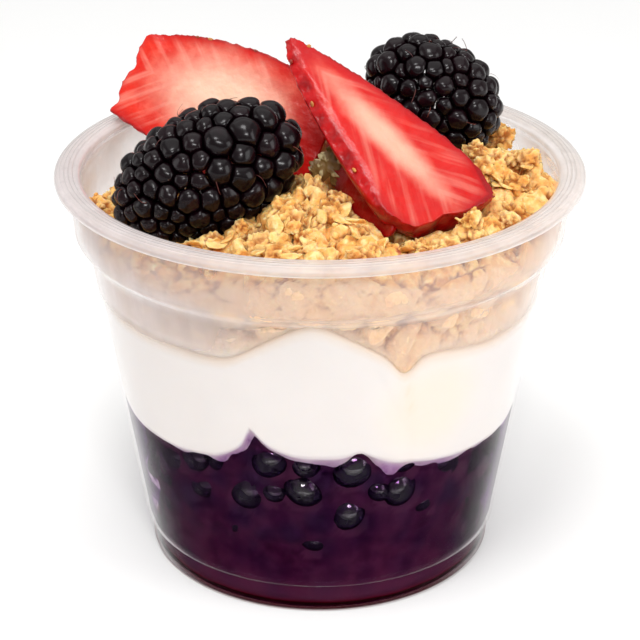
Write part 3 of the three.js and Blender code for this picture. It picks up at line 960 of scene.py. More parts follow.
# %% Crags
def crag(point, size):
    """A grain whose top leans its own way, so that neighbours meet in steps."""
    distances, middles = noise.voronoi(point / size)
    edge = distances[1] - distances[0]
    lean = noise.cell_vector(middles[0] * 19.7) - Vector((0.5, 0.5, 0.5))
    return 1 - (1 - min(edge * 2.2, 1)) ** 3 + 1.1 * lean.dot(point / size - middles[0])


places, normals = vertex_places(granola), vertex_normals(granola)
radii, heights = radii_of(places), places[:, 2]
over_yogurt = heights - along_edge(yogurt_top, places)
on_top = smoothstep(-0.35, 0.1, normals[:, 2]) * smoothstep(0, 1.5, over_yogurt)
at_side = smoothstep(38.2, 39.2, radii) * smoothstep(0.5, 2, over_yogurt)
big = np.array([crag(Vector(p) + Vector((3, 1, 7)), 6.2) for p in places])
small = np.array([crag(Vector(p), 2.6) for p in places])
fine = np.clip(uneven(places, 1.5, fading=0.7, octaves=4), -1.2, 1.2)
raised = 2.1 * (big - 0.75) + 0.35 * (small - 0.7) + 0.4 * fine
raised *= 1 - 0.7 * smoothstep(39, 41, radii)
raised = np.minimum(raised, [room_at(p) for p in places]) * np.maximum(on_top, at_side)
moved = places + normals * raised[:, None]
# The wall holds the heap in, and below it the granola sinks a little into the yogurt.
limit = inside_radius(moved[:, 2]) + INTO_WALL - 0.1
moved[:, :2] *= np.minimum(1, limit / np.maximum(radii_of(moved), 1e-6))[:, None]
tip = along_edge(granola_tip, places)
at_tip = smoothstep(33, 37, radii) * (1 - smoothstep(0, 5, over_yogurt - tip))
sunk = (normals[:, 2] < -0.3) & (radii > 34)
moved[:, 2] -= 0.5 * sunk + tip * at_tip
move_vertices(granola, moved)
smooth(granola)

from_wall = radii_of(moved) - inside_radius(moved[:, 2])
turns = turns_of(moved)
soaked = smoothstep(-12, -24, turns) * smoothstep(-130, -90, turns)
soaked *= (1 - smoothstep(59, 62.5, heights)) * smoothstep(36, 38, radii)
# How deep each point lies between the crags, for the painted shade in the cracks.
store(granola, "crack_shade", np.clip(1 - (0.5 * big + 0.5 * small), 0, 1))
store(granola, "at_wall", smoothstep(-1.6, -0.1, from_wall))
store(granola, "near_yogurt", 1 - smoothstep(0.2, 3.0, over_yogurt))
store(granola, "soaked", 0.9 * soaked)
print("the crags rise up to", round(float(raised.max()), 1), "mm")

# %% Baked oats
# Where strawberry juice has run into the granola, and how far it has spread.
JUICE_SPOTS = [
    ((19, -26.5, 69.5), 1.2), ((12.9, -32, 69), 1.0), ((17, -33.5, 68), 1.1), ((3, -8, 73), 2.5),
]


def baked_oats(name):
    """The matt, crumbly finish of baked oats, with painted shade in its pits and painted light on
    its tops, and its colour, which a piece may change further.
    """
    oats = Finish(
        name, Roughness=0.85, Specular_IOR_Level=0.15,
        Subsurface_Weight=0.35, Subsurface_Radius=(1.6, 0.8, 0.3), Subsurface_Scale=MM,
    )
    golden = oats.between(oats.clouds(4, 4), 0.4, 0.6)
    warm = oats.mix(golden, colour(240, 178, 98), colour(254, 208, 136))
    crumbs = oats.minus(oats.times(oats.clouds(1.5, 9), 1.7), oats.times(oats.cells(1.5), 0.5))
    # The colour follows the same crumb pattern as the bump: browner in the pits, as painted shade,
    # and paler on the tops, as painted light, over a real mix of toasted and pale crumbs.
    toasted_and_pit_shade = oats.mix(oats.between(crumbs, 0.25, 0.6, 0.6, 0.0), warm, colour(214, 142, 72))
    pale = oats.between(crumbs, 0.6, 0.95, 0.0, 0.8)
    coloured = oats.mix(pale, toasted_and_pit_shade, colour(254, 226, 166))
    for place, size in JUICE_SPOTS:
        ragged = oats.plus(oats.distance_to(place), oats.times(oats.clouds(1.2, 2), 1.5 * MM))
        stained = oats.between(ragged, size * MM, (size + 1.2) * MM, 0.85, 0.0)
        coloured = oats.mix(stained, coloured, colour(150, 14, 24))
    oats.put("Base Color", coloured)
    oats.bump(crumbs, 0.6, 0.9)
    return oats, coloured


# %% The heap's finish
heap_finish, baked = baked_oats("granola_heap")
at_wall, near_yogurt = heap_finish.attribute("at_wall"), heap_finish.attribute("near_yogurt")
# Painted light: where the granola presses on the wall it is painted paler, to lift the shade there
# and to stand in for the haze of the plastic in front.
paler_at_wall = heap_finish.mix(heap_finish.times(at_wall, 0.8), baked, colour(236, 202, 168))
# Painted shade: the cracks are painted browner, and only a little darker where the granola presses
# on the wall.
crack_shade_colour = heap_finish.mix(at_wall, colour(150, 80, 32), colour(220, 184, 154))
in_crack_shade = heap_finish.between(heap_finish.attribute("crack_shade"), 0.3, 0.85)
crack_shaded = heap_finish.mix(in_crack_shade, paler_at_wall, crack_shade_colour)
moist = heap_finish.mix(near_yogurt, crack_shaded, colour(230, 204, 180))
milky = heap_finish.mix(near_yogurt, colour(232, 208, 186), colour(248, 238, 226))
heap_finish.put("Base Color", heap_finish.mix(heap_finish.attribute("soaked"), moist, milky))
finish(granola, "granola_heap", heap_finish, ["granola"])

# %% [markdown]
# ## Loose clusters, flakes and grains
#
# On the heap lie knobbly clusters, rolled-oat flakes and single grains. Each kind is modelled a
# few times from a ball and dropped onto the heap along straight lines from above, the small ones
# from coarse balls because they are repeated hundreds of times. What would cross a fruit is made
# smaller or left out. A few clusters are banked up in front of the front strawberry slice.

# %% What they land on
heap_tree = tree_of(granola)


def drop(reach, turn):
    """Where something dropped at a place lands on the heap, and how the heap lies there."""
    place, normal, _, _ = heap_tree.ray_cast(round_the_cup(reach, turn, 120), Vector((0, 0, -1)))
    return place, normal


def drop_anywhere(rand, within):
    reach = within * math.sqrt(rand())
    return drop(reach, 2 * math.pi * rand())


def ball_model(subdivisions):
    start_clean()
    bpy.ops.mesh.primitive_ico_sphere_add(subdivisions=subdivisions, radius=MM)
    return bpy.context.object


# %% Clusters
CLUSTERS, CLUSTER_KINDS = 130, 10
BANKED = [
    ((24.5, -28, 69.6), 3.2), ((21, -30, 68.6), 2.6), ((27.8, -25.8, 69.8), 2.8),
    ((24.8, -27.2, 72.2), 2.3), ((31, -22, 69.6), 2.4),
]


def knobbly_cluster(rand):
    """A knot of baked grains: a ball that is raised by craggy cells of two sizes."""
    ball = ball_model(4)
    shift = shift_by(rand, 40)
    places = vertex_places(ball)
    points = [Vector(p) + shift for p in places]
    crags = np.array([0.2 * crag(at, 1.25) + 0.05 * crag(at * 1.3, 0.75) for at in points])
    swell = 0.66 + crags + 0.27 * uneven(points, 1 / 2.2, fading=0.7, octaves=5)
    places *= swell[:, None] * (1.05, 0.8 + 0.25 * rand(), 0.72 + 0.25 * rand())
    move_vertices(ball, places)
    # How far each point sinks between the knobs, for painted shade in the hollows.
    store(ball, "hollow", 1 - smoothstep(0.62, 0.98, swell))
    return ball


rand = seeded(31)
cluster_models = [knobbly_cluster(rand) for _ in range(CLUSTER_KINDS)]
clusters = []


def lay_cluster(kind, middle, size):
    turn = tumbled(rand, 0.6)
    clusters.append((kind % CLUSTER_KINDS, placed(middle, turn, size), rand()))


for i in range(CLUSTERS):
    size = 1.5 + 1.9 * rand()
    reach = (40.2 - 1.15 * size) * math.sqrt((i + 0.5) / CLUSTERS)
    place, normal = drop(reach, i * GOLDEN_TURN + 0.4 * rand())
    middle = place + normal * size * (0.1 + 0.25 * rand())
    size = min(size, room_at(middle) / 1.12)
    if size > 1.1:
        lay_cluster(i, middle, size)
for i, (middle, size) in enumerate(BANKED):
    lay_cluster(i, Vector(middle), min(size, room_at(middle) / 1.12))
granola_clusters = join_copies("granola_clusters", cluster_models, clusters)
cluster_finish, plain = baked_oats("granola_clusters")
# Painted shade: the hollows between the knobs are painted browner.
hollow_shaded = cluster_finish.mix(cluster_finish.attribute("hollow"), plain, colour(168, 96, 42))
cluster_finish.put("Base Color", hollow_shaded)
finish(granola_clusters, "granola_clusters", cluster_finish)

# %% Oat flakes
FLAKES, FLAKE_KINDS = 260, 8


def oat_flake(rand):
    """A rolled oat: a thin, slightly cupped oval with an uneven edge."""
    flake = ball_model(2)
    shift = shift_by(rand, 30)
    places = vertex_places(flake)
    seen_flat = places * (1, 1, 0)
    edge = 1 + 0.3 * uneven(seen_flat, 1 / 1.3, shift, octaves=2)
    cupped = (0.1 + 0.25 * rand()) * places[:, 0] ** 2 - 0.2 * rand() * places[:, 1] ** 2
    wavy = 0.12 * uneven(seen_flat, 1 / 2, shift, octaves=2)
    places[:, :2] *= edge[:, None] * (1, 0.62 + 0.25 * rand())
    places[:, 2] = places[:, 2] * 0.17 + cupped + wavy
    move_vertices(flake, places)
    return flake


rand = seeded(47)
flake_models = [oat_flake(rand) for _ in range(FLAKE_KINDS)]
flakes = []
for i in range(FLAKES):
    size = 1.1 + 1.2 * rand()
    place, normal = drop_anywhere(rand, 39.8 - size)
    tilt = (normal + 0.9 * Vector((rand() - 0.5, rand() - 0.5, rand() - 0.5))).normalized()
    middle = place + normal * (0.3 + 0.35 * size * rand())
    turn = turned_to(tilt, 6.3 * rand())
    if room_at(middle) > size * 1.2:
        flakes.append((i % FLAKE_KINDS, placed(middle, turn, size), rand()))
oat_flakes = join_copies("oat_flakes", flake_models, flakes)
flake_finish, _ = baked_oats("oat_flakes")
finish(oat_flakes, "oat_flakes", flake_finish)

# %% Grains
GRAINS, GRAIN_KINDS = 450, 7


def grain(rand):
    """A coarse ball with uneven sides."""
    ball = ball_model(2)
    shift = shift_by(rand, 50)
    places = vertex_places(ball)
    swell = 1 + 0.5 * uneven(places, 1 / 1.1, shift, octaves=2)
    places *= swell[:, None] * (1, 0.75 + 0.25 * rand(), 0.75 * (0.85 + 0.3 * rand()))
    move_vertices(ball, places)
    return ball


rand = seeded(23)
grain_models = [grain(rand) for _ in range(GRAIN_KINDS)]
grains = []
for i in range(GRAINS):
    size = 0.35 + 0.5 * rand() ** 2
    place, normal = drop_anywhere(rand, 39.6 - size)
    if place is None:
        continue
    middle = place + normal * size * 0.25
    if room_at(middle) > size * 1.25:
        turn = tumbled(rand, 0.4)
        grains.append((i % GRAIN_KINDS, placed(middle, turn, size), rand()))
granola_grains = join_copies("granola_grains", grain_models, grains)
grain_finish, plain = baked_oats("granola_grains")
darker = grain_finish.between(grain_finish.attribute("tone"), 0.45, 1.0, 0.0, 0.5)
grain_finish.put("Base Color", grain_finish.mix(darker, plain, colour(180, 112, 48)))
finish(granola_grains, "granola_grains", grain_finish)

# %% [markdown]
# ## Brambles
#
# A bramble is a cluster of juicy drupelets round a core. Its balls start in a spiral, push each
# other apart until they are evenly spread, and are larger towards the stem. Where two of them
# press together, each is pushed back from the plane that it shares with its neighbour. That
# leaves tight creases between round, glossy tops. Dried threads, one to a few drupelets, lie over
# the surface.

# %% Sizes of the brambles
BRAMBLES = {
    "bramble_front": dict(
        middle=(-19.2, -9, 73.4), axis=(29.5, 9, 12),
        length=34.5, thickness=20.8, drupelet=2.12, taper=0.22,
    ),
    "bramble_back": dict(
        middle=(20.2, 13.5, 79.6), axis=(21, -6, -11.5),
        length=25.5, thickness=18.8, drupelet=1.9, taper=0.0,
    ),
}


def placement(middle, axis, facing):
    """Local X along the axis, local Z as near as it can be to where the piece faces."""
    along = Vector(axis).normalized()
    sideways = Vector(facing).cross(along).normalized()
    up = along.cross(sideways)
    matrix = Matrix((along, sideways, up)).transposed().to_4x4()
    matrix.translation = Vector(middle)
    return matrix


def lie_of_bramble(berry):
    return placement(berry["middle"], berry["axis"], (0, -0.4, 0.9))


def lay(piece, lie):
    """Turns and moves a piece that was modelled at the origin."""
    piece.data.transform(Matrix.Scale(MM, 4) @ lie @ Matrix.Scale(1 / MM, 4))


# %% Drupelets
def unit_length(vectors):
    return vectors / np.linalg.norm(vectors, axis=1)[:, None]


def drupelets(berry, rand):
    """Middles and radii of the drupelets, and which way each looks."""
    half_length, half_thickness = berry["length"] / 2, berry["thickness"] / 2
    reach = np.array((half_length, half_thickness, half_thickness)) - berry["drupelet"]
    # Thomsen's formula for the area of an ellipsoid, with the power 1.6.
    mean = ((reach[0] * reach[1]) ** 1.6 * 2 + reach[1] ** 3.2) / 3
    count = round(4 * math.pi * mean ** (1 / 1.6) / (2.25 * berry["drupelet"] ** 2))
    level = 1 - (2 * np.arange(count) + 1) / count
    turn = np.arange(count) * GOLDEN_TURN
    ring = np.sqrt(1 - level**2)
    unit = np.stack((level, ring * np.cos(turn), ring * np.sin(turn)), 1)
    unit += 0.35 * (np.array([rand() for _ in range(3 * count)]).reshape(-1, 3) - 0.5)
    varied = 0.86 + 0.3 * np.array([rand() for _ in range(count)])
    size = berry["drupelet"] * (1 + berry["taper"] * unit[:, 0]) * varied
    for _ in range(60):
        unit = unit_length(unit)
        middles = unit * reach
        gaps = middles[:, None] - middles[None]
        distances = np.linalg.norm(gaps, axis=2) + np.eye(count) * 99
        wanted = 0.9 * (size[:, None] + size[None])
        push = np.maximum(wanted - distances, 0) / distances
        unit = unit + 0.25 * (gaps * push[:, :, None]).sum(1) / reach
    unit = unit_length(unit)
    out = unit_length(unit / reach)
    lift = np.array([0.7 * (rand() - 0.5) for _ in range(count)])
    middles = unit * reach + out * lift[:, None]
    return [(Vector(m), 1.2 * r, Vector(o)) for m, r, o in zip(middles, size, out)]


def pressed(places, own, others):
    """Pushes a ball's points back from the planes that it shares with its neighbours."""
    middle, size, _ = own
    softness, gap_between, deepest = 0.2, 0.12, 3
    for other, other_size, _ in others:
        gap = other - middle
        distance = gap.length
        if distance < 1e-3 or distance > size + other_size:
            continue
        share = (distance**2 + size**2 - other_size**2) / (2 * distance)
        direction = np.array(gap / distance)
        over = (places - np.array(middle)) @ direction - share + gap_between
        push = softness * np.logaddexp(0, over / softness)
        places = places - direction * np.minimum(push, deepest)[:, None]
    return places


# %% Both brambles
def make_bramble(name, berry, rand):
    ball = ball_model(4)
    unit, faces = vertex_places(ball), faces_of(ball)
    throw_away([ball])
    balls = drupelets(berry, rand)
    parts = []
    for own in balls:
        middle, size, out = own
        squash = np.array((0.92 + 0.16 * rand(), 0.92 + 0.16 * rand(), 0.98 + 0.12 * rand()))
        shift = shift_by(rand, 60)
        bulges = np.array([noise.noise(Vector(p) * 1.3 + shift) for p in unit])
        shape = unit * squash * (1 + 0.1 * bulges[:, None])
        turn = np.array(turned_to(out, 6.3 * rand()).to_3x3())
        places = pressed(shape @ turn.T * size + np.array(middle), own, balls)
        parts.append((places, faces, rand(), np.zeros(len(unit))))
    piece = joined(name, parts)
    lay(piece, lie_of_bramble(berry))
    return piece, balls


bramble_finish = Finish(
    "bramble_skin", Roughness=0.27, Specular_IOR_Level=0.16, Coat_Weight=0.2, Coat_Roughness=0.12
)
ripe = bramble_finish.mix(bramble_finish.attribute("tone"), colour(9, 2, 5), colour(20, 6, 11))
purple = bramble_finish.between(bramble_finish.clouds(6, 2), 0.55, 0.8, 0.0, 0.5)
bramble_finish.put("Base Color", bramble_finish.mix(purple, ripe, colour(38, 13, 22)))
bramble_finish.bump(bramble_finish.clouds(0.7, 3), 0.05, 0.4)
bramble_balls = {}
for seed, (name, berry) in enumerate(BRAMBLES.items()):
    bramble, bramble_balls[name] = make_bramble(name, berry, seeded(40 + seed))
    finish(bramble, name + "_fruit", bramble_finish, [name])

# %% Dried threads
THREADS, THREAD_KINDS = 30, 5


def dried_thread(rand):
    """A thin thread that leans over and curls."""
    start_clean()
    bpy.ops.mesh.primitive_circle_add(vertices=4, radius=0.06 * MM, fill_type="NGON")
    thread = bpy.context.object
    bpy.ops.object.mode_set(mode="EDIT")
    lean, curl = Vector((0.25 * rand(), 0.2 * (rand() - 0.5), 0.4)), 0.18 + 0.14 * rand()
    for _ in range(7):
        bpy.ops.mesh.extrude_region_move(TRANSFORM_OT_translate={"value": lean * MM})
        lean = (lean + Vector((curl, 0.1 * (rand() - 0.5), -0.05))).normalized() * 0.42
    bpy.ops.mesh.select_all(action="SELECT")
    bpy.ops.mesh.normals_make_consistent(inside=False)
    bpy.ops.object.mode_set(mode="OBJECT")
    return thread


def lay_threads(balls, lie, rand):
    """Places for threads: in the creases, pointing up and along the skin."""
    laid = []
    for i in range(THREADS):
        middle, size, out = balls[int(rand() * len(balls))]
        along = out.cross(Vector((rand() - 0.5, rand() - 0.5, rand() - 0.5))).normalized()
        start = middle + (0.72 * out + 0.62 * along) * size
        way = (out * 0.5 + along * (rand() - 0.3)).normalized()
        laid.append((i % THREAD_KINDS, lie @ placed(start, turned_to(way, 6.3 * rand())), rand()))
    return laid


rand = seeded(71)
thread_models = [dried_thread(rand) for _ in range(THREAD_KINDS)]
threads_laid = []
for name, berry in BRAMBLES.items():
    threads_laid += lay_threads(bramble_balls[name], lie_of_bramble(berry), rand)
threads = join_copies("bramble_threads", thread_models, threads_laid)
thread_finish = Finish("dried_thread", Roughness=0.5)
browns = colour(120, 52, 36), colour(70, 26, 30)
thread_finish.put("Base Color", thread_finish.mix(thread_finish.attribute("tone"), *browns))
finish(threads, "bramble_threads", thread_finish)

# %% [markdown]
# ## Strawberries
#
# A strawberry that is cut lengthwise shows a flat face with a pale core, from which white threads
# run out to the seeds, and a red skin with a seed in each dimple. Its outline is drawn and spun,
# pressed flat on one side, pushed into lobes at the crown end, and remeshed so that it has points
# enough for dimples. The front slice is also pressed along one side, where more of its skin
# shows. Before it is laid in place, each point keeps its share of the way from crown to tip, its
# place across, and its distance from the skin, so that the material can colour the cut face.

# %% Sizes of the strawberry pieces
STRAWBERRIES = {
    "strawberry_back": dict(
        crown=(-34.9, 23, 80.8), tip=(-0.5, 3.6, 71.5), facing=(-0.3, -0.78, 0.55),
        width=24, depth=10, widest=0.62, crown_width=0.68, blunt=2.9,
        bend=1.2, slant=0, lobes=1.7, lobe=1.5, bevel=0,
    ),
    "strawberry_front": dict(
        crown=(22.8, -18.5, 70), tip=(-7.4, 0.7, 95.7), facing=(0.33, -0.53, 0.78),
        width=21.4, depth=9, widest=0.16, crown_width=0.8, blunt=1.3,
        bend=0, slant=3, lobes=1.1, lobe=0.7, bevel=3.2,
    ),
    "strawberry_under": dict(
        crown=(4.5, 3, 80), tip=(11.5, -22, 67.5), facing=(-0.8, -0.4, 0.45),
        width=17, depth=7, widest=0.3, crown_width=0.8, blunt=1.6,
        bend=0, slant=0, lobes=1, lobe=0.5, bevel=0,
    ),
}


def half_width(fruit, share):
    if share < fruit["widest"]:
        rise = math.sin(math.pi / 2 * share / fruit["widest"])
        return fruit["width"] / 2 * (fruit["crown_width"] + (1 - fruit["crown_width"]) * rise)
    tipward = (share - fruit["widest"]) / (1 - fruit["widest"])
    return fruit["width"] / 2 * max(1 - tipward ** fruit["blunt"], 0) ** (1 / fruit["blunt"])


def length_of(fruit):
    return (Vector(fruit["tip"]) - Vector(fruit["crown"])).length


def shares_of(fruit, along):
    """Distances from the crown as shares of the length, from 0 to 1."""
    return np.clip(along / length_of(fruit), 0, 1)


def half_widths(fruit, along):
    return np.array([half_width(fruit, share) for share in shares_of(fruit, along)])


def lie_of_slice(fruit):
    axis = Vector(fruit["tip"]) - Vector(fruit["crown"])
    return placement(fruit["crown"], axis, fruit["facing"])


# %% Cut half of a strawberry
def strawberry_shape(fruit, places):
    """Turns points of the spun shape into the lobed, flattened one."""
    share = shares_of(fruit, places[:, 0])
    side = places[:, 1] / (fruit["width"] / 2)
    near_crown = 1 - smoothstep(0, 0.3, share)
    lobes = fruit["lobe"] * (1 - np.abs(np.cos(math.pi * (fruit["lobes"] * side + 0.3)))) ** 2
    shaped = places.copy()
    shaped[:, 0] += near_crown * (fruit["slant"] * side + lobes)
    shaped[:, 2] *= 2 * fruit["depth"] / fruit["width"]
    shaped[:, 1] += fruit["bend"] * np.sin(math.pi * share)
    return shaped


def press_side(fruit, whole):
    """Presses one long side onto a slanting plane, so that more of the skin is seen there."""
    places = vertex_places(whole)
    taken = fruit["bevel"] * smoothstep(0.12, 0.4, shares_of(fruit, places[:, 0]))
    edge = half_widths(fruit, places[:, 0]) - taken
    slant = np.array((0.6, 0.8))
    beyond = (places[:, 1] - edge) * slant[0] + places[:, 2] * slant[1]
    places[:, 1:] -= (np.maximum(beyond, 0) * (taken > 0))[:, None] * slant
    move_vertices(whole, places)


def cut_strawberry(fruit):
    steps, crown_steps, side_steps = 72, 14, 40
    off_plane = math.pi / steps  # so that no point lies on the plane of the cut
    shares = [1 - (1 - i / side_steps) ** 1.35 for i in range(side_steps + 1)]
    outline = [(0, half_width(fruit, 0) * i / crown_steps) for i in range(crown_steps)]
    outline += [(share * length_of(fruit), half_width(fruit, share)) for share in shares]
    whole = single_vertex()
    draw_line([(x, r * math.cos(off_plane), r * math.sin(off_plane)) for x, r in outline])
    spin_up((1, 0, 0), steps)
    bpy.ops.mesh.select_all(action="DESELECT")
    bpy.ops.object.mode_set(mode="OBJECT")
    whole.data.vertices.foreach_set("select", vertex_places(whole)[:, 2] > 0)
    move_vertices(whole, strawberry_shape(fruit, vertex_places(whole)))
    bpy.ops.object.mode_set(mode="EDIT")
    bpy.ops.transform.resize(value=(1, 1, 0), center_override=(0, 0, 0))
    bpy.ops.mesh.select_all(action="SELECT")
    bpy.ops.mesh.normals_make_consistent(inside=False)
    bpy.ops.object.mode_set(mode="OBJECT")
    if fruit["bevel"]:
        press_side(fruit, whole)
    apply_modifier(whole, "REMESH", mode="VOXEL", voxel_size=0.36 * MM)
    apply_modifier(whole, "SMOOTH", factor=0.5, iterations=4)
    return whole


def tuck_under(piece, cover):
    """Pushes what would stick out of the covering slice's cut face back below it."""
    below = -1.5
    lie = lie_of_slice(cover)
    turn, start = np.array(lie.to_3x3()), np.array(lie.translation)
    seen = (vertex_places(piece) - start) @ turn
    inside = (seen[:, 2] > below) & (seen[:, 0] > -2) & (seen[:, 0] < length_of(cover))
    inside &= np.abs(seen[:, 1]) < half_widths(cover, seen[:, 0]) + 1
    seen[inside, 2] = below
    move_vertices(piece, seen @ turn.T + start)


# %% Seeds and dimples
def seed_places(fruit, piece, rand):
    """Evenly spaced places on the skin, how it faces there, and whether the seed fell off."""
    tree = tree_of(piece)
    length = length_of(fruit)
    count = round(length * fruit["width"] / 7.5)
    found = []

    def nearest(place):
        shaped = strawberry_shape(fruit, np.array([place]))[0]
        return tree.find_nearest(Vector(shaped))[:2]

    def alone(place, apart):
        return all((place - other).length > apart for other, _, _ in found)

    # Two rows follow the edge of the cut, where the dimples give the outline its scallops.
    for i in range(2 * count):
        share = (i // 2 + 0.5 + 0.3 * rand()) / count * 2.6
        if share < 0.97 and rand() < 0.8:
            side = 1 - 2 * (i % 2)
            place, normal = nearest((share * length, side * half_width(fruit, share), -0.5))
            normal = Vector((normal.x, normal.y, min(normal.z, -0.2))).normalized()
            if alone(place, 2.4):
                found.append((place, normal, rand() < 0.75))
    # The others are spread over the back of the slice.
    for i in range(2 * count):
        share = 1 - (1 - (i + 0.5) / count / 2) ** 0.8
        around = math.pi + math.pi * ((i * 0.618034) % 1)
        radius, aside = half_width(fruit, share), 0.3 * (rand() - 0.5)
        guess = (radius * math.cos(around) + aside, radius * math.sin(around) + aside)
        place, normal = nearest((share * length, *guess))
        if normal.z < 0.9 and normal.x > -0.75 and place.z < -0.7 and alone(place, 2.7):
            found.append((place, normal, False))
    return found


def dress_strawberry(name, fruit, rand):
    piece = cut_strawberry(fruit)
    seeds = seed_places(fruit, piece, rand)
    places, normals = vertex_places(piece), vertex_normals(piece)
    cut = smoothstep(-0.75, -0.25, places[:, 2]) * smoothstep(0.3, 0.8, normals[:, 2])
    tree = KDTree(len(seeds))
    for i, (place, _, _) in enumerate(seeds):
        tree.insert(place, i)
    tree.balance()
    to_seed = np.array([tree.find(Vector(p))[2] for p in places])
    dimple = -0.45 * np.exp(-((to_seed / 0.85) ** 2)) * (1 - cut)
    ripple = uneven(places * (0.4, 1.4, 0) + (0, 0, 3), 1, octaves=2)
    raised = dimple + cut * (0.22 * uneven(places, 5) - 0.12 + 0.05 * ripple)
    move_vertices(piece, places + normals * raised[:, None])
    middle = fruit["bend"] * np.sin(math.pi * shares_of(fruit, places[:, 0]))
    from_side = half_widths(fruit, places[:, 0]) - np.abs(places[:, 1] - middle)
    store(piece, "along", places[:, 0] / length_of(fruit))
    store(piece, "across", (places[:, 1] - middle) / (fruit["width"] / 2))
    store(piece, "from_skin", np.minimum(from_side, places[:, 0] + 1.2))
    store(piece, "cut", cut)
    lie = lie_of_slice(fruit)
    lay(piece, lie)
    smooth(piece)
    shown = [(lie @ place, lie.to_3x3() @ normal) for place, normal, bare in seeds if not bare]
    print(name, "has", len(shown), "seeds in", len(seeds), "dimples")
    return piece, shown


# %% Strawberry flesh and skin
# The pale core's place, as shares along and across, and how far it runs; then the colours of the
# flesh, its deeper patches, its core and its rim, and how strongly the threads show.
FLESH = {
    "strawberry_back": dict(
        core=(0.5, 0.1), core_reach=(0.42, 0.76), plain=colour(226, 48, 26),
        deep=colour(214, 32, 16), pale=colour(242, 198, 172), rim=colour(196, 18, 12), threads=0.34,
    ),
    "strawberry_front": dict(
        core=(0.4, -0.08), core_reach=(0.4, 0.32), plain=colour(206, 30, 24),
        deep=colour(196, 22, 18), pale=colour(244, 170, 146), rim=colour(180, 10, 16), threads=0.2,
    ),
    "strawberry_under": dict(
        core=(0.4, 0.0), core_reach=(0.3, 0.25), plain=colour(214, 16, 14),
        deep=colour(186, 10, 12), pale=colour(216, 34, 28), rim=colour(150, 8, 12), threads=0.1,
    ),
}


def strawberry_finish(name, flesh):
    cut_face = Finish(
        name + "_flesh", Roughness=0.3, Specular_IOR_Level=0.3, Coat_Weight=0.08,
        Coat_Roughness=0.12, Subsurface_Weight=0.25, Subsurface_Radius=(2.5, 0.8, 0.5),
        Subsurface_Scale=MM,
    )
    between, mix, times = cut_face.between, cut_face.mix, cut_face.times
    plus, minus = cut_face.plus, cut_face.minus
    along, aside = cut_face.attribute("along"), cut_face.attribute("across")
    from_skin, blotch = cut_face.attribute("from_skin"), cut_face.clouds(4, 4)
    off_core = minus(aside, flesh["core"][1])
    u = times(minus(along, flesh["core"][0]), 1 / flesh["core_reach"][0])
    v = times(off_core, 1 / flesh["core_reach"][1])
    from_core = cut_face.math("SQRT", plus(times(u, u), times(v, v)))

    slanting = plus(along, times(cut_face.math("ABSOLUTE", off_core), 0.34))
    where = cut_face.add("ShaderNodeCombineXYZ", {"X": slanting, "Y": times(aside, 0.05)})
    inputs = {"Vector": where.outputs[0], "Scale": 15.0, "Detail": 2.5}
    streaks = cut_face.add("ShaderNodeTexNoise", inputs).outputs["Fac"]
    threads = times(
        between(streaks, 0.46, 0.7), between(from_core, 0.3, 1.0),
        between(from_skin, 0.4, 3.0), flesh["threads"],
    )

    rim = between(plus(from_skin, times(blotch, 2.0)), 1.4, 4.0, 1.0, 0.0)
    tipward = between(plus(along, times(blotch, 0.2)), 0.82, 1.02)
    soft_edge = plus(from_core, times(minus(blotch, 0.5), 0.5))
    body = mix(between(blotch, 0.3, 0.7), flesh["plain"], flesh["deep"])
    body = mix(rim, body, flesh["rim"])
    body = mix(between(from_skin, 0.25, 0.9, 0.85, 0.0), body, colour(140, 8, 12))
    body = mix(between(soft_edge, 0.2, 1.2, 1.0, 0.0), body, flesh["pale"])
    body = mix(threads, body, colour(246, 190, 168))
    body = mix(tipward, body, flesh["rim"])
    ripeness = between(cut_face.clouds(3, 3), 0.3, 0.7)
    skin = mix(ripeness, colour(140, 6, 12), colour(190, 14, 18))
    cut_face.put("Base Color", mix(cut_face.attribute("cut"), skin, body))
    cut_face.bump(cut_face.clouds(0.8, 5), 0.2, 0.6)
    return cut_face


# %% Lay the strawberries
all_seeds = []
for seed, (name, fruit) in enumerate(STRAWBERRIES.items()):
    strawberry, seeds = dress_strawberry(name, fruit, seeded(60 + seed))
    if name == "strawberry_under":
        tuck_under(strawberry, STRAWBERRIES["strawberry_front"])
        tucked = tree_of(strawberry)
        seeds = [laid for laid in seeds if tucked.find_nearest(laid[0])[3] < 0.7]
    surface = strawberry_finish(name, FLESH[name])
    finish(strawberry, name + "_slice", surface, [name])
    all_seeds += seeds

# %% [markdown]
# ## Leaf scrap
#
# A torn scrap of the strawberry's green crown is caught between the fruits. It starts as a flat
# grid, gets a ragged outline, is curled and crinkled, and is then given the thickness of a dry
# leaf.

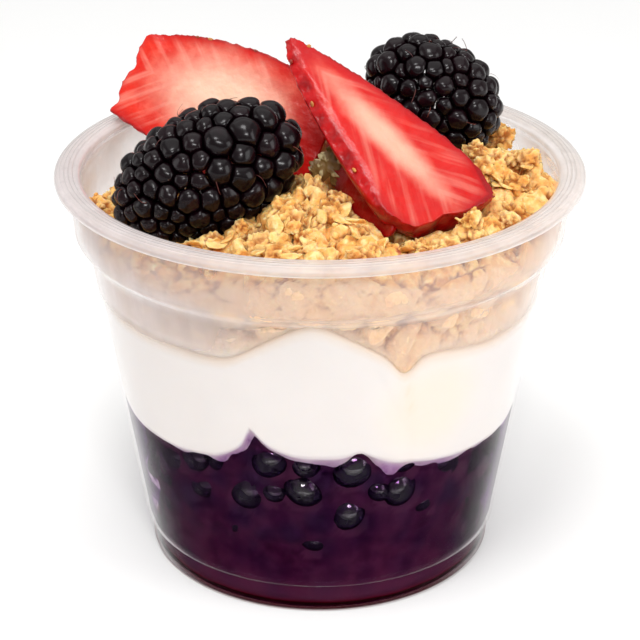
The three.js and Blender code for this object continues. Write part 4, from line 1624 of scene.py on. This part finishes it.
# %% Leaf
LEAF_LENGTH, LEAF_HALF_WIDTH, LEAF_THICKNESS = 5.6, 2.3, 0.3
start_clean()
bpy.ops.mesh.primitive_grid_add(x_subdivisions=36, y_subdivisions=20, size=2 * MM)
leaf = bpy.context.object
places = vertex_places(leaf)
along, sideways = (places[:, 0] + 1) / 2, places[:, 1]
side_points = [Vector((u * 9, math.copysign(3, v), 0.5)) for u, v in zip(along, sideways)]
side_teeth = np.array([noise.noise(point) for point in side_points])
end_teeth = np.array([noise.noise(Vector((v * 2.6, 4.1, 1.5))) for v in sideways])
oval = 0.3 + 0.7 * np.sin(math.pi * (0.2 + 0.75 * along))
wide = LEAF_HALF_WIDTH * oval * (1 + 0.75 * side_teeth * np.abs(sideways))
long = LEAF_LENGTH * (along - 0.5) + 1.5 * end_teeth * (2 * along - 1)
curl = 0.9 * np.sin(5 * along + 1.5 * sideways) + 0.9 * sideways**2 * np.cos(4 * along)
places = np.stack((long, wide * sideways, 0.6 * curl), 1)
crinkle = uneven(places, 1.3)
places[:, 2] += 0.3 * crinkle
move_vertices(leaf, places)
store(leaf, "ridge", crinkle)
apply_modifier(leaf, "SOLIDIFY", thickness=LEAF_THICKNESS * MM, offset=0)
stood_up = Matrix.Rotation(math.radians(-70), 4, "Y") @ Matrix.Rotation(math.radians(62), 4, "X")
lay(leaf, placed((1.4, -6.3, 74.2), stood_up))
smooth(leaf)
leaf_finish = Finish("dried_leaf", Roughness=0.45)
dried = leaf_finish.mix(leaf_finish.clouds(1.6, 3), colour(92, 62, 28), colour(146, 114, 62))
ridges = leaf_finish.between(leaf_finish.attribute("ridge"), 0.25, 0.6)
leaf_finish.put("Base Color", leaf_finish.mix(ridges, dried, colour(214, 198, 150)))
finish(leaf, "calyx_scrap", leaf_finish, ["calyx_leaf"])

# %% [markdown]
# ## Strawberry seeds
#
# One small, flat, pointed seed is modelled from a ball. A copy of it goes into each dimple that
# still holds its seed, turned the way the skin faces there and sunk in a little.

# %% Seeds
seed_model = ball_model(2)
places = vertex_places(seed_model)
places[:, 1] *= 0.62 * (1 - 0.25 * places[:, 0])
places[:, 2] *= 0.45
move_vertices(seed_model, places * 0.62)
rand = seeded(5)
SUNK = 0.3
copies = [
    (0, placed(place - normal * SUNK, turned_to(normal, 6.3 * rand())), rand())
    for place, normal in all_seeds
]
strawberry_seeds = join_copies("strawberry_seeds", [seed_model], copies)
husk = Finish("seed_husk", Roughness=0.4)
tans = colour(206, 146, 72), colour(140, 40, 26)
husk.put("Base Color", husk.mix(husk.attribute("tone"), *tans))
finish(strawberry_seeds, "strawberry_seeds", husk)
